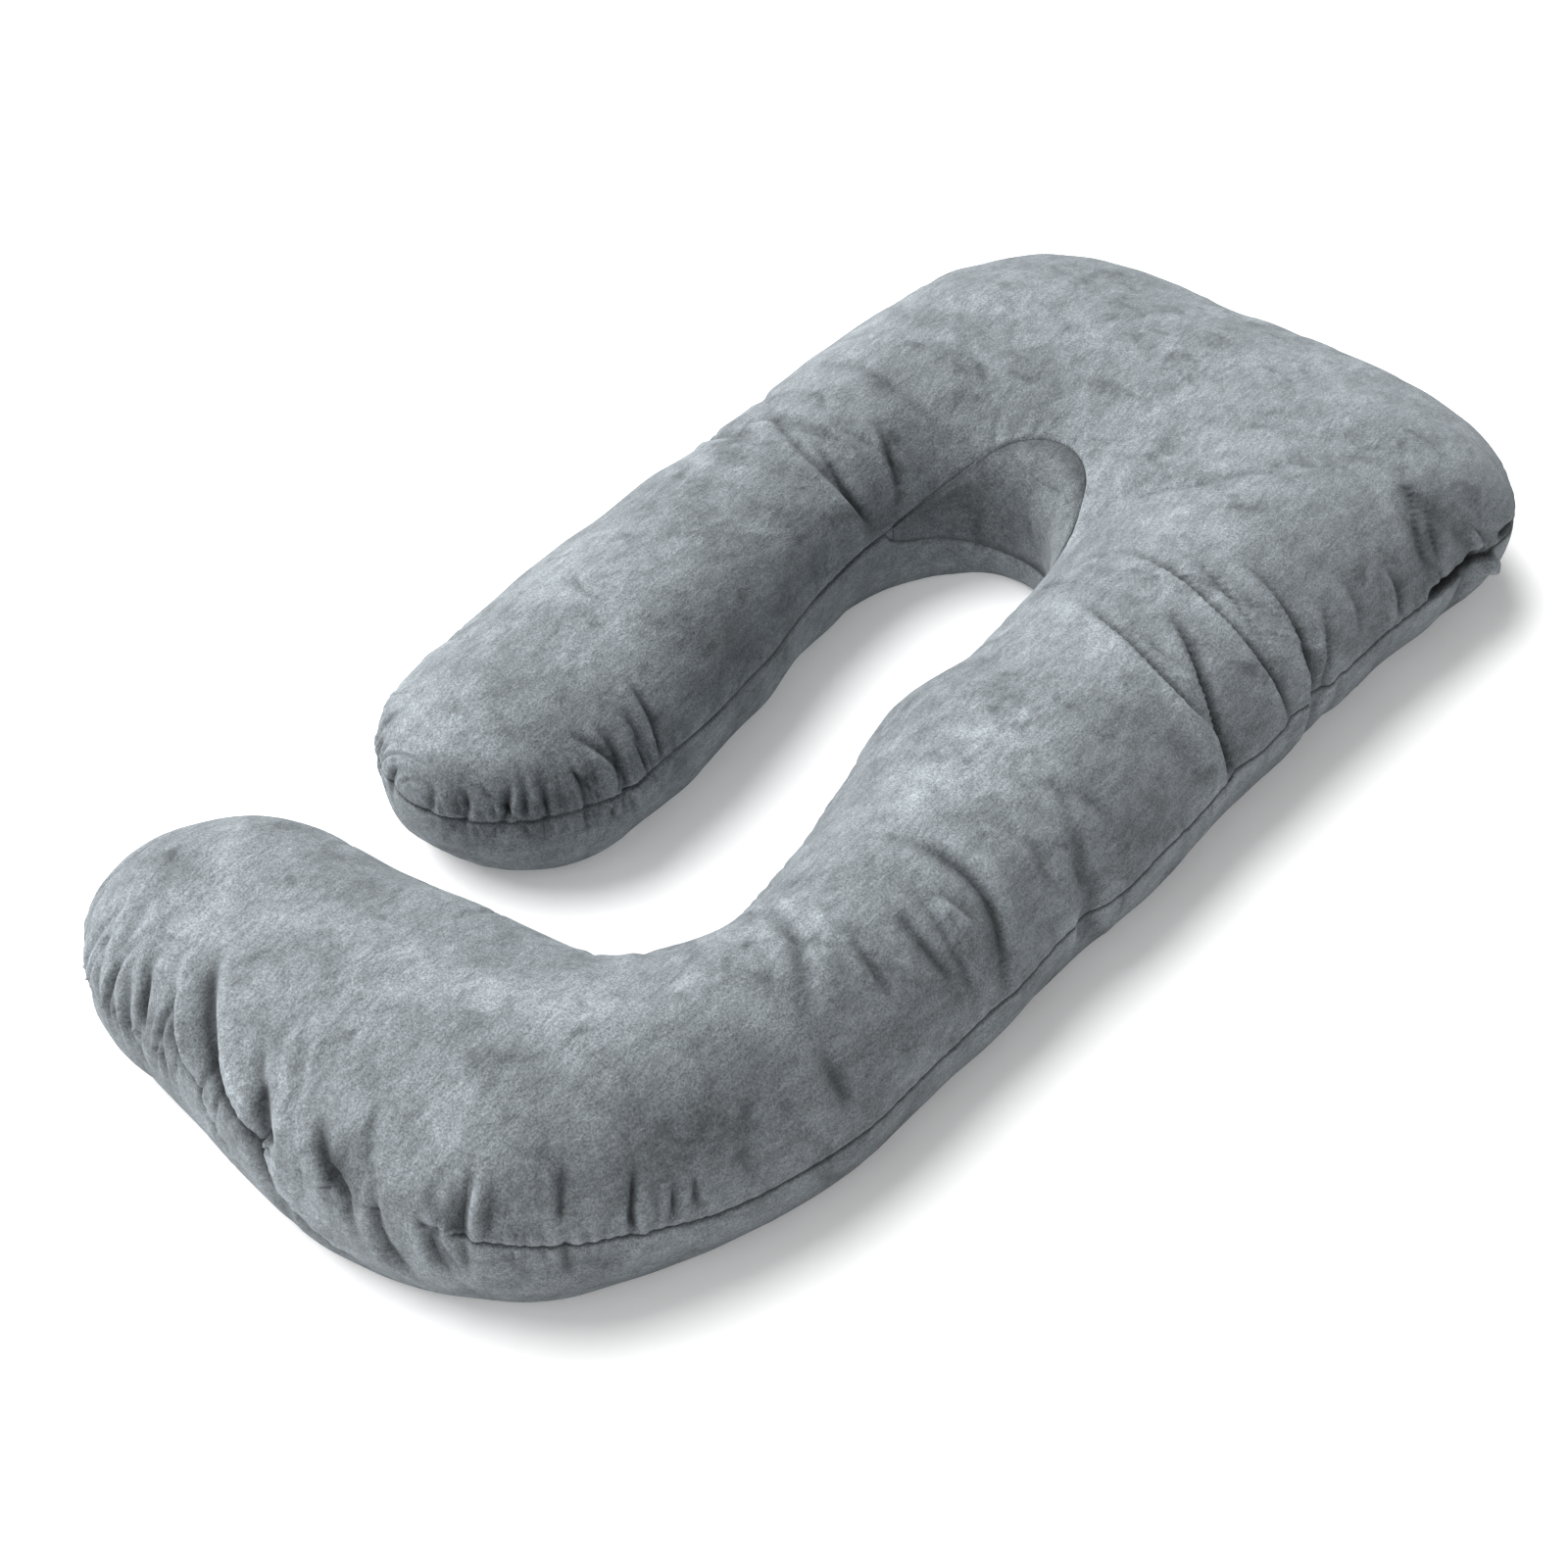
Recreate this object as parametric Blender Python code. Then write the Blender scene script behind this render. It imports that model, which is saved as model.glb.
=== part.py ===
"""A long hooked bed pillow of plush cloth, lying flat.

The filled body runs from the tip of a free arm, round a squared head and down a longer arm to the
tip of a hook. A crescent panel is let into the wall of its neck, between the two arms.
"""

import bmesh
import bpy
import numpy as np

MM = 0.001

# One row per section of the body, from the free arm's tip to the hook's tip, in mm: where the inner and
# the outer seam lie in plan, how high the top rises, how high each seam lies, how square the underside is
# below each seam (2 is an ellipse), and how far apart the mesh's rings are from there on.
COLUMNS = ("in_x", "in_y", "out_x", "out_y", "crown", "in_seam", "out_seam", "in_square", "out_square", "step")
SECTIONS = {
    "arm_end":      (-45, -150, -286, -150, 166, 84, 84, 2.8, 2.9, 26),
    "arm_low":      (-46, -50, -297, -50, 172, 84, 84, 2.8, 2.9, 32),
    "arm_mid":      (-58, 60, -299, 60, 172, 82, 84, 2.8, 2.9, 32),
    "arm_high":     (-76, 150, -298, 150, 168, 82, 84, 2.8, 2.9, 16),
    "arm_neck":     (-84, 220, -297, 225, 162, 84, 84, 3.0, 2.9, 12),
    "left_turn_1":  (-80, 280, -297, 330, 168, 84, 84, 3.6, 2.9, 13),
    "left_turn_2":  (-62, 325, -297, 450, 174, 84, 84, 4.5, 2.9, 28),
    "left_turn_3":  (-44, 348, -290, 560, 180, 84, 84, 5.2, 2.9, 38),
    "left_corner":  (-28, 360, -270, 670, 182, 84, 84, 5.2, 2.9, 38),
    "head_1":       (-12, 366, -211, 755, 182, 84, 84, 5.2, 2.9, 38),
    "head_2":       (2, 368, -115, 788, 180, 84, 84, 5.2, 2.9, 38),
    "head_3":       (16, 368, 5, 790, 176, 84, 84, 5.2, 2.9, 38),
    "head_4":       (32, 364, 120, 785, 176, 84, 84, 5.2, 2.9, 38),
    "head_5":       (48, 356, 230, 774, 180, 84, 84, 5.2, 2.9, 30),
    "head_6":       (62, 342, 328, 736, 182, 84, 84, 4.8, 2.7, 18),
    "right_corner": (75, 322, 396, 655, 180, 84, 84, 4.4, 2.5, 10),
    "right_turn_1": (86, 294, 392, 560, 180, 84, 84, 3.8, 2.5, 9),
    "right_turn_2": (93, 255, 380, 450, 178, 84, 84, 3.2, 2.5, 8),
    "right_neck":   (95, 200, 371, 330, 172, 84, 84, 3.0, 2.6, 9),
    "right_high":   (93, 120, 365, 200, 170, 84, 80, 2.8, 2.8, 22),
    "right_mid":    (88, 30, 359, 60, 172, 84, 74, 2.8, 2.9, 32),
    "right_low":    (104, -60, 351, -50, 170, 84, 70, 2.8, 2.9, 32),
    "bend_1":       (121, -140, 343, -150, 168, 84, 68, 2.8, 2.9, 32),
    "bend_2":       (134, -200, 338, -250, 168, 84, 64, 2.8, 2.9, 32),
    "bend_3":       (138, -250, 331, -345, 170, 84, 62, 2.8, 2.8, 30),
    "bend_4":       (130, -296, 308, -435, 174, 84, 66, 2.8, 2.7, 30),
    "bend_5":       (110, -328, 275, -514, 178, 84, 76, 2.8, 2.8, 30),
    "bend_6":       (80, -348, 226, -590, 178, 84, 98, 2.8, 3.1, 30),
    "hook_1":       (40, -357, 160, -635, 178, 84, 112, 2.8, 3.5, 28),
    "hook_2":       (0, -362, 80, -653, 178, 84, 116, 2.8, 3.7, 14),
    "hook_3":       (-50, -363, -2, -650, 178, 84, 113, 2.8, 3.6, 11),
    "hook_4":       (-100, -366, -90, -635, 176, 84, 105, 2.8, 3.3, 11),
    "hook_end":     (-160, -371, -175, -617, 172, 84, 96, 2.8, 2.9, 13),
}
LAST = len(SECTIONS) - 1
ARM_TIP = (-180, -288)
HOOK_TIP = (-298, -498)
MIDDLE = (51, 68)  # plan point of the table that is the part's origin, mm

TOP_SQUARE = 2.05  # how square the upper half of a section is
SAG = 22           # how far the round underside would pass the surface that flattens it, mm
TIP_DRAW = 0.8     # how soon the height falls towards a tip: 1 is a round tip, less is a blunter one

TOP_RINGS = 15     # mesh points across the top, between the seams
WALL_SHARES = (0.3, 0.62, 0.88, 1)  # mesh points down the wall below a seam, as shares of its height
WALL_LIMIT = 0.97  # lowest of those at a tip, as a share of the section there
SEAM_LIP = 4       # half the width of the groove along a seam, mm
SEAM_DEPTH = 2.5   # depth of that groove, mm
SEAM_FLOOR = 4     # width of the groove's floor along the inner seam, mm

# The crescent panel: where its points lie along the run, and how far it opens above and below the seam, mm.
PANEL = {"from": 4.9, "to": 17.0, "above": 64, "below": 46, "above_power": 0.9, "below_power": 0.4}
PANEL_ROWS = 4     # mesh points across the panel
PANEL_THICK = 1.8  # mm
PANEL_GAP = 0.35   # clearance all round the panel, mm

# Folds pressed into the cloth. run counts the section rows and girth counts quarter turns round a
# section: 0 outer seam, 1 top, 2 inner seam, 3 underside. bow is how far the run swings out midway. depth,
# half width and the height of the fold's raised lip are in mm, the lip on its other side if negative.
LIP_AT = 1.7       # where a fold's lip lies, in half widths from its trough
FOLD_COLUMNS = ("run_1", "girth_1", "run_2", "girth_2", "bow", "depth", "width", "lip")
FOLDS = {
    "left_neck_1":  (4.6, 1.15, 4.5, 1.90, -0.15, 4, 7, 2),
    "left_neck_2":  (4.8, 0.65, 4.6, 1.90, -0.40, 4, 8, 2),
    "left_neck_3":  (5.5, 1.30, 5.3, 1.80, 0.00, 4, 7, 2),
    "corner_long":  (15.1, 0.75, 16.6, 0.08, 0.35, 4, 8, 2),
    "right_neck_1": (17.2, 1.15, 18.4, 0.45, 0.15, 3, 7, 2),
    "right_neck_2": (17.6, 0.48, 18.1, -0.02, 0.10, 4, 7, 2),
    "right_neck_3": (17.4, 0.88, 18.3, -0.04, 0.20, 7, 9, 3),
    "right_neck_4": (17.1, 1.35, 18.5, -0.04, 0.50, 9, 11, 3),
    "right_neck_5": (18.3, 0.95, 19.3, -0.06, 0.30, 10, 12, 3),
    "right_neck_6": (18.3, 1.30, 19.3, 0.25, 0.28, 7, 10, 3),
    "right_neck_7": (19.2, 0.75, 19.5, -0.02, 0.00, 3, 10, 2),
    "hook_main":    (31.3, 0.75, 29.3, -0.24, 0.20, 13, 20, -4),
    "hook_second":  (31.8, 0.60, 30.4, -0.12, 0.30, 5, 15, 2),
}

# A pocket where the top overhangs the outer seam at the head's corner, and the ear of cloth below it.
POCKET = {"run": 16.1, "reach": 0.55, "depth": 12, "drop": 9}
EAR = {"run": 15.65, "girth": 3.9, "height": 8, "radius": 15}


def sections_at(run):
    """Rows of the section table at fractional run numbers, on a smooth curve through them."""
    rows = np.array(list(SECTIONS.values()), float)
    run = np.clip(run, 0, LAST)
    base = np.minimum(run.astype(int), LAST - 1)
    t = (run - base)[:, None]
    rows = np.vstack([2 * rows[0] - rows[1], rows, 2 * rows[-1] - rows[-2]])
    a, b, c, d = (rows[base + i] for i in range(4))
    values = 0.5 * (2 * b + (c - a) * t + (2 * a - 5 * b + 4 * c - d) * t ** 2 + (3 * b - a - 3 * c + d) * t ** 3)
    return dict(zip(COLUMNS, values.T))


def surface(run, girth):
    """Points of the smooth body, in mm. Each tip adds one more step of run, before 0 and after LAST."""
    run, girth = np.broadcast_arrays(np.asarray(run, float), np.asarray(girth, float))
    shape = run.shape
    run, girth = run.ravel(), girth.ravel()
    at = sections_at(run)
    turn = np.clip(np.maximum(-run, run - LAST), 0, 1) * np.pi / 2
    inner = np.column_stack([at["in_x"], at["in_y"]])
    outer = np.column_stack([at["out_x"], at["out_y"]])
    tip = np.where((run < 0)[:, None], ARM_TIP, HOOK_TIP)
    middle = (inner + outer) / 2
    half = (outer - inner) / 2 * np.cos(turn)[:, None]
    middle = middle + (tip - middle) * np.sin(turn)[:, None]

    angle = girth * np.pi / 2
    c, s = np.cos(angle), np.sin(angle)
    under = np.where(c < 0, at["in_square"], at["out_square"])
    square = np.where(s >= 0, TOP_SQUARE, under)
    side = np.sign(c) * np.abs(c) ** (2 / square)
    seam = (at["in_seam"] + at["out_seam"]) / 2 + (at["out_seam"] - at["in_seam"]) / 2 * c
    height = np.where(s >= 0, at["crown"] - seam, -(seam + SAG))
    z = seam + height * np.abs(s) ** (2 / square) * np.cos(turn) ** TIP_DRAW
    plan = middle + side[:, None] * half - MIDDLE
    return np.column_stack([plan, np.maximum(z, 0)]).reshape(*shape, 3)


def normals(run, girth):
    """Unit outward directions of the smooth body."""
    small = 0.02
    along = surface(run + small, girth) - surface(run - small, girth)
    around = surface(run, girth + small) - surface(run, girth - small)
    out = np.cross(around, along)
    return out / np.maximum(np.linalg.norm(out, axis=-1, keepdims=True), 1e-9)


def ring_runs():
    """Run numbers of the mesh's rings, as far apart as the table's step column says."""
    fine = np.linspace(-1, LAST + 1, 4001)
    outer, top = surface(fine, 0), surface(fine, 1)
    moved = (np.linalg.norm(np.diff(outer, axis=0), axis=1) + np.linalg.norm(np.diff(top, axis=0), axis=1)) / 2
    spans = moved / sections_at((fine[1:] + fine[:-1]) / 2)["step"]
    counted = np.concatenate([[0], np.cumsum(spans)])
    count = int(round(counted[-1]))
    return np.interp(np.linspace(0, counted[-1], count + 1), counted, fine)[1:-1]


def panel_opening(run):
    """How far the two edges of the crescent lie above and below the inner seam, in mm."""
    t = np.clip((run - PANEL["from"]) / (PANEL["to"] - PANEL["from"]), 0, 1)
    lens = np.sin(np.pi * t)
    least = SEAM_FLOOR / 2
    above = np.maximum(PANEL["above"] * lens ** PANEL["above_power"], least)
    below = np.maximum(PANEL["below"] * lens ** PANEL["below_power"], least)
    return above, below


def girth_beside_seam(run, seam, offset):
    """Girth of the points that lie offset mm above an inner (2) or outer (0) seam, or below it if negative."""
    at = sections_at(run)
    draw = np.cos(np.clip(np.maximum(-run, run - LAST), 0, 1) * np.pi / 2) ** TIP_DRAW
    height = at["in_seam"] if seam == 2 else at["out_seam"]
    under = at["in_square"] if seam == 2 else at["out_square"]
    room = np.where(offset >= 0, at["crown"] - height, height + SAG) * draw
    square = np.where(offset >= 0, TOP_SQUARE, under)
    share = np.clip(np.abs(offset) / np.maximum(room, 1e-6), 0, 0.95)
    turn = np.arcsin(share ** (square / 2)) / (np.pi / 2) * np.sign(offset)
    return seam - turn if seam == 2 else seam + turn


def pocket_share(run):
    """1 at the middle of the corner pocket, falling to 0 at its ends."""
    t = np.clip(np.abs(run - POCKET["run"]) / POCKET["reach"], 0, 1)
    return (1 - t ** 2) ** 1.5


def under_girths(runs, seam, edge):
    """Girths of the points down the wall under a seam, from edge mm below it to where the wall meets the floor."""
    at = sections_at(runs)
    draw = np.cos(np.clip(np.maximum(-runs, runs - LAST), 0, 1) * np.pi / 2) ** TIP_DRAW
    height = at["in_seam"] if seam == 2 else at["out_seam"]
    foot = np.minimum(height, WALL_LIMIT * (height + SAG) * draw)
    return [girth_beside_seam(runs, seam, -(edge + (foot - edge) * share)) for share in WALL_SHARES]


def ring_girths(runs):
    """Girths of the mesh points round each ring: a groove at each seam, and the panel's rows at the inner one."""
    above, below = panel_opening(runs)
    outer_edge = SEAM_LIP + POCKET["drop"] * pocket_share(runs)
    inner_edge = below + SEAM_LIP
    outer_up = girth_beside_seam(runs, 0, SEAM_LIP + 0 * runs)
    inner_up = girth_beside_seam(runs, 2, above + SEAM_LIP)
    columns = [0 * runs, outer_up]
    columns += [outer_up + (inner_up - outer_up) * (i + 1) / (TOP_RINGS + 1) for i in range(TOP_RINGS)]
    columns += [inner_up]
    for i in range(PANEL_ROWS):
        columns += [girth_beside_seam(runs, 2, above - (above + below) * i / (PANEL_ROWS - 1) + 1e-6)]
    columns += [girth_beside_seam(runs, 2, -inner_edge)]
    columns += under_girths(runs, 2, inner_edge)
    columns += [4 + girth for girth in reversed(under_girths(runs, 0, outer_edge))]
    columns += [4 + girth_beside_seam(runs, 0, -outer_edge)]
    return np.column_stack(columns)


FIRST_PANEL_ROW = TOP_RINGS + 3


def fold_path(fold, count=25):
    """Points, tangents and depth shares along a fold, on the smooth body."""
    t = np.linspace(0, 1, count)
    run = fold["run_1"] + (fold["run_2"] - fold["run_1"]) * t + fold["bow"] * np.sin(np.pi * t)
    girth = fold["girth_1"] + (fold["girth_2"] - fold["girth_1"]) * t
    points = surface(run, girth)
    tangents = np.gradient(points, axis=0)
    tangents /= np.linalg.norm(tangents, axis=1, keepdims=True)
    return points, tangents, np.sin(np.pi * np.clip(t, 0.02, 0.98)) ** 0.7


def fold_offset(points, outward):
    """How far each point moves along its outward direction for all the folds, in mm."""
    total = np.zeros(points.shape[:-1])
    for values in FOLDS.values():
        fold = dict(zip(FOLD_COLUMNS, values))
        path, tangents, share = fold_path(fold)
        away = points[..., None, :] - path
        nearest = np.argmin(np.einsum("...k,...k", away, away), axis=-1)
        away = points - path[nearest]
        distance = np.linalg.norm(away, axis=-1)
        across = np.einsum("...k,...k", away, np.cross(tangents[nearest], outward))
        trough = -fold["depth"] * np.exp(-(distance / fold["width"]) ** 2)
        beside = across * np.sign(fold["lip"]) / fold["width"] - LIP_AT
        along = np.sqrt(np.maximum(distance ** 2 - across ** 2, 0)) / fold["width"]
        lip = abs(fold["lip"]) * np.exp(-beside ** 2 - along ** 2)
        total += (trough + lip) * share[nearest]
    return total


def body_points(runs, girths):
    """The body with its seams, panel recess, folds, pocket and ear, in mm."""
    run = runs[:, None] + 0 * girths
    points = surface(run, girths)
    outward = normals(run, girths)
    offset = fold_offset(points, outward)
    pocket = pocket_share(runs)
    offset[:, 0] -= SEAM_DEPTH + POCKET["depth"] * pocket
    recess = PANEL_THICK + PANEL_GAP
    offset[:, FIRST_PANEL_ROW:FIRST_PANEL_ROW + PANEL_ROWS] -= recess
    ear_at = surface(EAR["run"], EAR["girth"])
    away = np.linalg.norm(points - ear_at, axis=-1) / EAR["radius"]
    offset += EAR["height"] * np.exp(-away ** 2) * (girths > 3)
    flat = points[..., 2] <= 0
    points = points + outward * np.where(flat, 0, offset)[..., None]
    points[..., 2] = np.maximum(points[..., 2], 0)
    return points


def panel_points(runs, girths, depth):
    """The crescent panel's mesh points, depth mm inside the smooth body, clear of the recess's edges."""
    rows = girths[:, FIRST_PANEL_ROW:FIRST_PANEL_ROW + PANEL_ROWS]
    above, below = panel_opening(runs)
    inset = PANEL_GAP * 2 / (above + below)
    middle, spread = rows.mean(axis=1, keepdims=True), 1 - inset[:, None]
    rows = middle + (rows - middle) * spread
    run = runs[:, None] + 0 * rows
    return surface(run, rows) - normals(run, rows) * depth


def add_rings(mesh, rings):
    """Closed rings of points joined by a skin."""
    made = [[mesh.verts.new(point * MM) for point in ring] for ring in rings]
    for first, second in zip(made, made[1:]):
        for i in range(len(first)):
            k = (i + 1) % len(first)
            mesh.faces.new((first[i], first[k], second[k], second[i]))
    return made


def add_object(name, mesh, material):
    """An object from a bmesh, with its faces turned outwards and shaded smooth."""
    bmesh.ops.triangulate(mesh, faces=mesh.faces[:])
    bmesh.ops.recalc_face_normals(mesh, faces=mesh.faces[:])
    data = bpy.data.meshes.new(name)
    mesh.to_mesh(data)
    mesh.free()
    data.shade_smooth()
    data.materials.append(material)
    made = bpy.data.objects.new(name, data)
    bpy.context.scene.collection.objects.link(made)
    return made


def plush(name, colour):
    """Matt plush cloth of one colour."""
    material = bpy.data.materials.new(name)
    material.use_nodes = True
    shader = material.node_tree.nodes["Principled BSDF"]
    shader.inputs["Base Color"].default_value = (*colour, 1)
    shader.inputs["Roughness"].default_value = 0.9
    shader.inputs["Metallic"].default_value = 0
    return material


def build_body(runs, girths):
    """The filled body: rings along the run, closed at each tip by a fan."""
    mesh = bmesh.new()
    made = add_rings(mesh, body_points(runs, girths))
    for ring, run in ((made[0], -1.0), (made[-1], LAST + 1.0)):
        pole = mesh.verts.new(surface(run, 0) * MM)
        for i, vert in enumerate(ring):
            mesh.faces.new((vert, ring[(i + 1) % len(ring)], pole))
    return add_object("pillow_body", mesh, plush("grey_plush", (0.235, 0.262, 0.268)))


def build_panel(runs, girths):
    """The crescent panel: a thin bent sheet that fills the recess in the neck."""
    inside = (runs > PANEL["from"] + 0.1) & (runs < PANEL["to"] - 0.1)
    runs, girths = runs[inside], girths[inside]
    front = panel_points(runs, girths, 0)
    back = panel_points(runs, girths, PANEL_THICK)
    mesh = bmesh.new()
    made = add_rings(mesh, np.concatenate([front, back[:, ::-1]], axis=1))
    for ring in (made[0], made[-1]):
        mesh.faces.new(ring)
    return add_object("neck_panel", mesh, plush("grey_plush_panel", (0.19, 0.215, 0.222)))


def main():
    for old in list(bpy.data.objects):
        bpy.data.objects.remove(old, do_unlink=True)
    runs = ring_runs()
    girths = ring_girths(runs)
    build_body(runs, girths)
    build_panel(runs, girths)


main()
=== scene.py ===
"""Looks of a long hooked bed pillow of grey plush: its filled cover with its folds and puckers, the
crescent panel in its neck, and the threads of its seams, on a pale floor in soft light."""

import math

import bmesh
import bpy
import numpy as np
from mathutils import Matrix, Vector


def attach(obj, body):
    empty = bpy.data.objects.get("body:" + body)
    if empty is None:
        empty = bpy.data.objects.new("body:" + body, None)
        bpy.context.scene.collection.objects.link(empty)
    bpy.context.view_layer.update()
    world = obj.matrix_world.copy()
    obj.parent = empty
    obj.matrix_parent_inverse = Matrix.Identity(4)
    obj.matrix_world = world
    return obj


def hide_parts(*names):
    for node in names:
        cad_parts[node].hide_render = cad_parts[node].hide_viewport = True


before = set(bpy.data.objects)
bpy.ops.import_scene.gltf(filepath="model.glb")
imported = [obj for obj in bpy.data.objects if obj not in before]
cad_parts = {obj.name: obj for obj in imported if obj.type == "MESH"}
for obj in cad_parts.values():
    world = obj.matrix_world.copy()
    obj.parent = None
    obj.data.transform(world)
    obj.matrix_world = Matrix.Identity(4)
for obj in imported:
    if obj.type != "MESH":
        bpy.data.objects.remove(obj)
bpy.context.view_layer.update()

MM = 0.001
NEAR_ZERO, LEAST_LENGTH = 1e-6, 1e-9


def by_name(table, columns):
    """Each row of a table as a dict of its columns."""
    return {name: dict(zip(columns, values)) for name, values in table.items()}


def add_object(name, data):
    """A new object in the scene."""
    made = bpy.data.objects.new(name, data)
    bpy.context.scene.collection.objects.link(made)
    return made


def set_inputs(node, values):
    """Give a node's sockets their values."""
    for name, value in values.items():
        node.inputs[name].default_value = value


def new_material(name):
    """A material, its nodes, its links and its shader."""
    material = bpy.data.materials.new(name)
    material.use_nodes = True
    tree = material.node_tree
    return material, tree.nodes, tree.links, tree.nodes["Principled BSDF"]


# Shape

# One row per section of the body, from the free arm's tip to the hook's tip, in mm: where the inner and
# the outer seam lie in plan, how high the top rises, how high each seam lies, how square the underside is
# below each seam (2 is an ellipse), and how far apart the mesh's rings are from there on.
COLUMNS = (
    "in_x", "in_y", "out_x", "out_y", "crown", "in_seam", "out_seam", "in_square", "out_square", "step",
)
SECTIONS = {
    "arm_end":      (-45, -150, -286, -150, 166, 84, 84, 2.8, 2.9, 2.1),
    "arm_low":      (-46, -50, -297, -50, 172, 84, 84, 2.8, 2.9, 4.2),
    "arm_mid":      (-58, 60, -299, 60, 172, 82, 84, 2.8, 2.9, 4.4),
    "arm_high":     (-76, 150, -298, 150, 168, 82, 84, 2.8, 2.9, 3.4),
    "arm_neck":     (-84, 220, -297, 225, 162, 84, 84, 3.0, 2.9, 2.8),
    "left_turn_1":  (-80, 280, -297, 330, 168, 84, 84, 3.6, 2.9, 3.4),
    "left_turn_2":  (-62, 325, -297, 450, 174, 84, 84, 4.5, 2.9, 4.6),
    "left_turn_3":  (-44, 348, -290, 560, 180, 84, 84, 5.2, 2.9, 4.8),
    "left_corner":  (-28, 360, -270, 670, 182, 84, 84, 5.2, 2.9, 4.8),
    "head_1":       (-12, 366, -211, 755, 182, 84, 84, 5.2, 2.9, 4.8),
    "head_2":       (2, 368, -115, 788, 180, 84, 84, 5.2, 2.9, 4.8),
    "head_3":       (16, 368, 5, 790, 176, 84, 84, 5.2, 2.9, 4.8),
    "head_4":       (32, 364, 120, 785, 176, 84, 84, 5.2, 2.9, 4.8),
    "head_5":       (48, 356, 230, 774, 180, 84, 84, 5.2, 2.9, 4.6),
    "head_6":       (62, 342, 328, 736, 182, 84, 84, 4.8, 2.7, 3.6),
    "right_corner": (75, 322, 396, 655, 180, 84, 84, 4.4, 2.5, 2.8),
    "right_turn_1": (86, 294, 392, 560, 180, 84, 84, 3.8, 2.5, 2.4),
    "right_turn_2": (93, 255, 380, 450, 178, 84, 84, 3.2, 2.5, 2.2),
    "right_neck":   (95, 200, 371, 330, 172, 84, 84, 3.0, 2.6, 2.2),
    "right_high":   (93, 120, 365, 200, 170, 84, 80, 2.8, 2.8, 3.0),
    "right_mid":    (88, 30, 359, 60, 172, 84, 74, 2.8, 2.9, 3.8),
    "right_low":    (104, -60, 351, -50, 170, 84, 70, 2.8, 2.9, 3.6),
    "bend_1":       (121, -140, 343, -150, 168, 84, 68, 2.8, 2.9, 3.4),
    "bend_2":       (134, -200, 338, -250, 168, 84, 64, 2.8, 2.9, 3.6),
    "bend_3":       (138, -250, 331, -345, 170, 84, 62, 2.8, 2.8, 3.6),
    "bend_4":       (130, -296, 308, -435, 174, 84, 66, 2.8, 2.7, 3.2),
    "bend_5":       (110, -328, 275, -514, 178, 84, 76, 2.8, 2.8, 3.0),
    "bend_6":       (80, -348, 226, -590, 178, 84, 98, 2.8, 3.1, 2.8),
    "hook_1":       (40, -357, 160, -635, 178, 84, 112, 2.8, 3.5, 2.8),
    "hook_2":       (0, -362, 80, -653, 178, 84, 116, 2.8, 3.7, 2.6),
    "hook_3":       (-50, -363, -2, -650, 178, 84, 113, 2.8, 3.6, 2.4),
    "hook_4":       (-100, -366, -90, -635, 176, 84, 105, 2.8, 3.3, 2.4),
    "hook_end":     (-160, -371, -175, -617, 172, 84, 96, 2.8, 2.9, 2.8),
}
LAST = len(SECTIONS) - 1
ARM_TIP = (-180, -288)
HOOK_TIP = (-298, -498)
MIDDLE = (51, 68)  # plan point of the table that is the part's origin, mm

TOP_SQUARE = 2.05  # how square the upper half of a section is
SAG = 22           # how far the round underside would pass the surface that flattens it, mm
TIP_DRAW = 0.8     # how soon the height falls towards a tip: 1 is a round tip, less is a blunter one

# Mesh points round a section: across the top, beside each seam (mm from it), down each wall (shares of its
# height), across the flat underside, and across the crescent panel.
TOP_COUNT = 52
BESIDE_SEAM = (1.2, 2.6, 4.4, 7.0)
WALL_SHARES = tuple(np.linspace(0.1, 1, 9))
WALL_LIMIT = 0.97    # the most of the underside's height that the walls take
HEIGHT_LIMIT = 0.95  # the most of a half section's height that a point beside a seam reaches
TIP_SPREAD = 3       # how soon the points beside a seam reach their full distance past a tip
FLAT_COUNT = 3
PANEL_ROWS = 8

SLOPE_STEP = 0.02   # run and girth step over which the surface's slope is taken
RUN_STEPS = 8001    # points at which the body's length is measured
WHOLE_TURN = 4      # girths count quarter turns round a section

SEAM_DEPTH = 2.0    # depth of the groove along a seam, mm
SEAM_WIDTH = 1.8    # half width of that groove, mm
GROOVE_POWER = 1.4  # how square the groove is: 2 is a bell
SEAM_FLOOR = 2      # least opening between the crescent's edges, mm

# The crescent panel: where its points lie along the run, and how far it opens above and below the seam, mm.
PANEL = {"from": 4.9, "to": 17.0, "above": 64, "below": 46, "above_power": 0.9, "below_power": 0.4}
PANEL_THICK, PANEL_THIN = 1.8, 1.0  # the panel's thickness, and the least where its edges are drawn in, mm
PANEL_GAP = 0.35  # how far behind it the cover lies, mm

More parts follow.
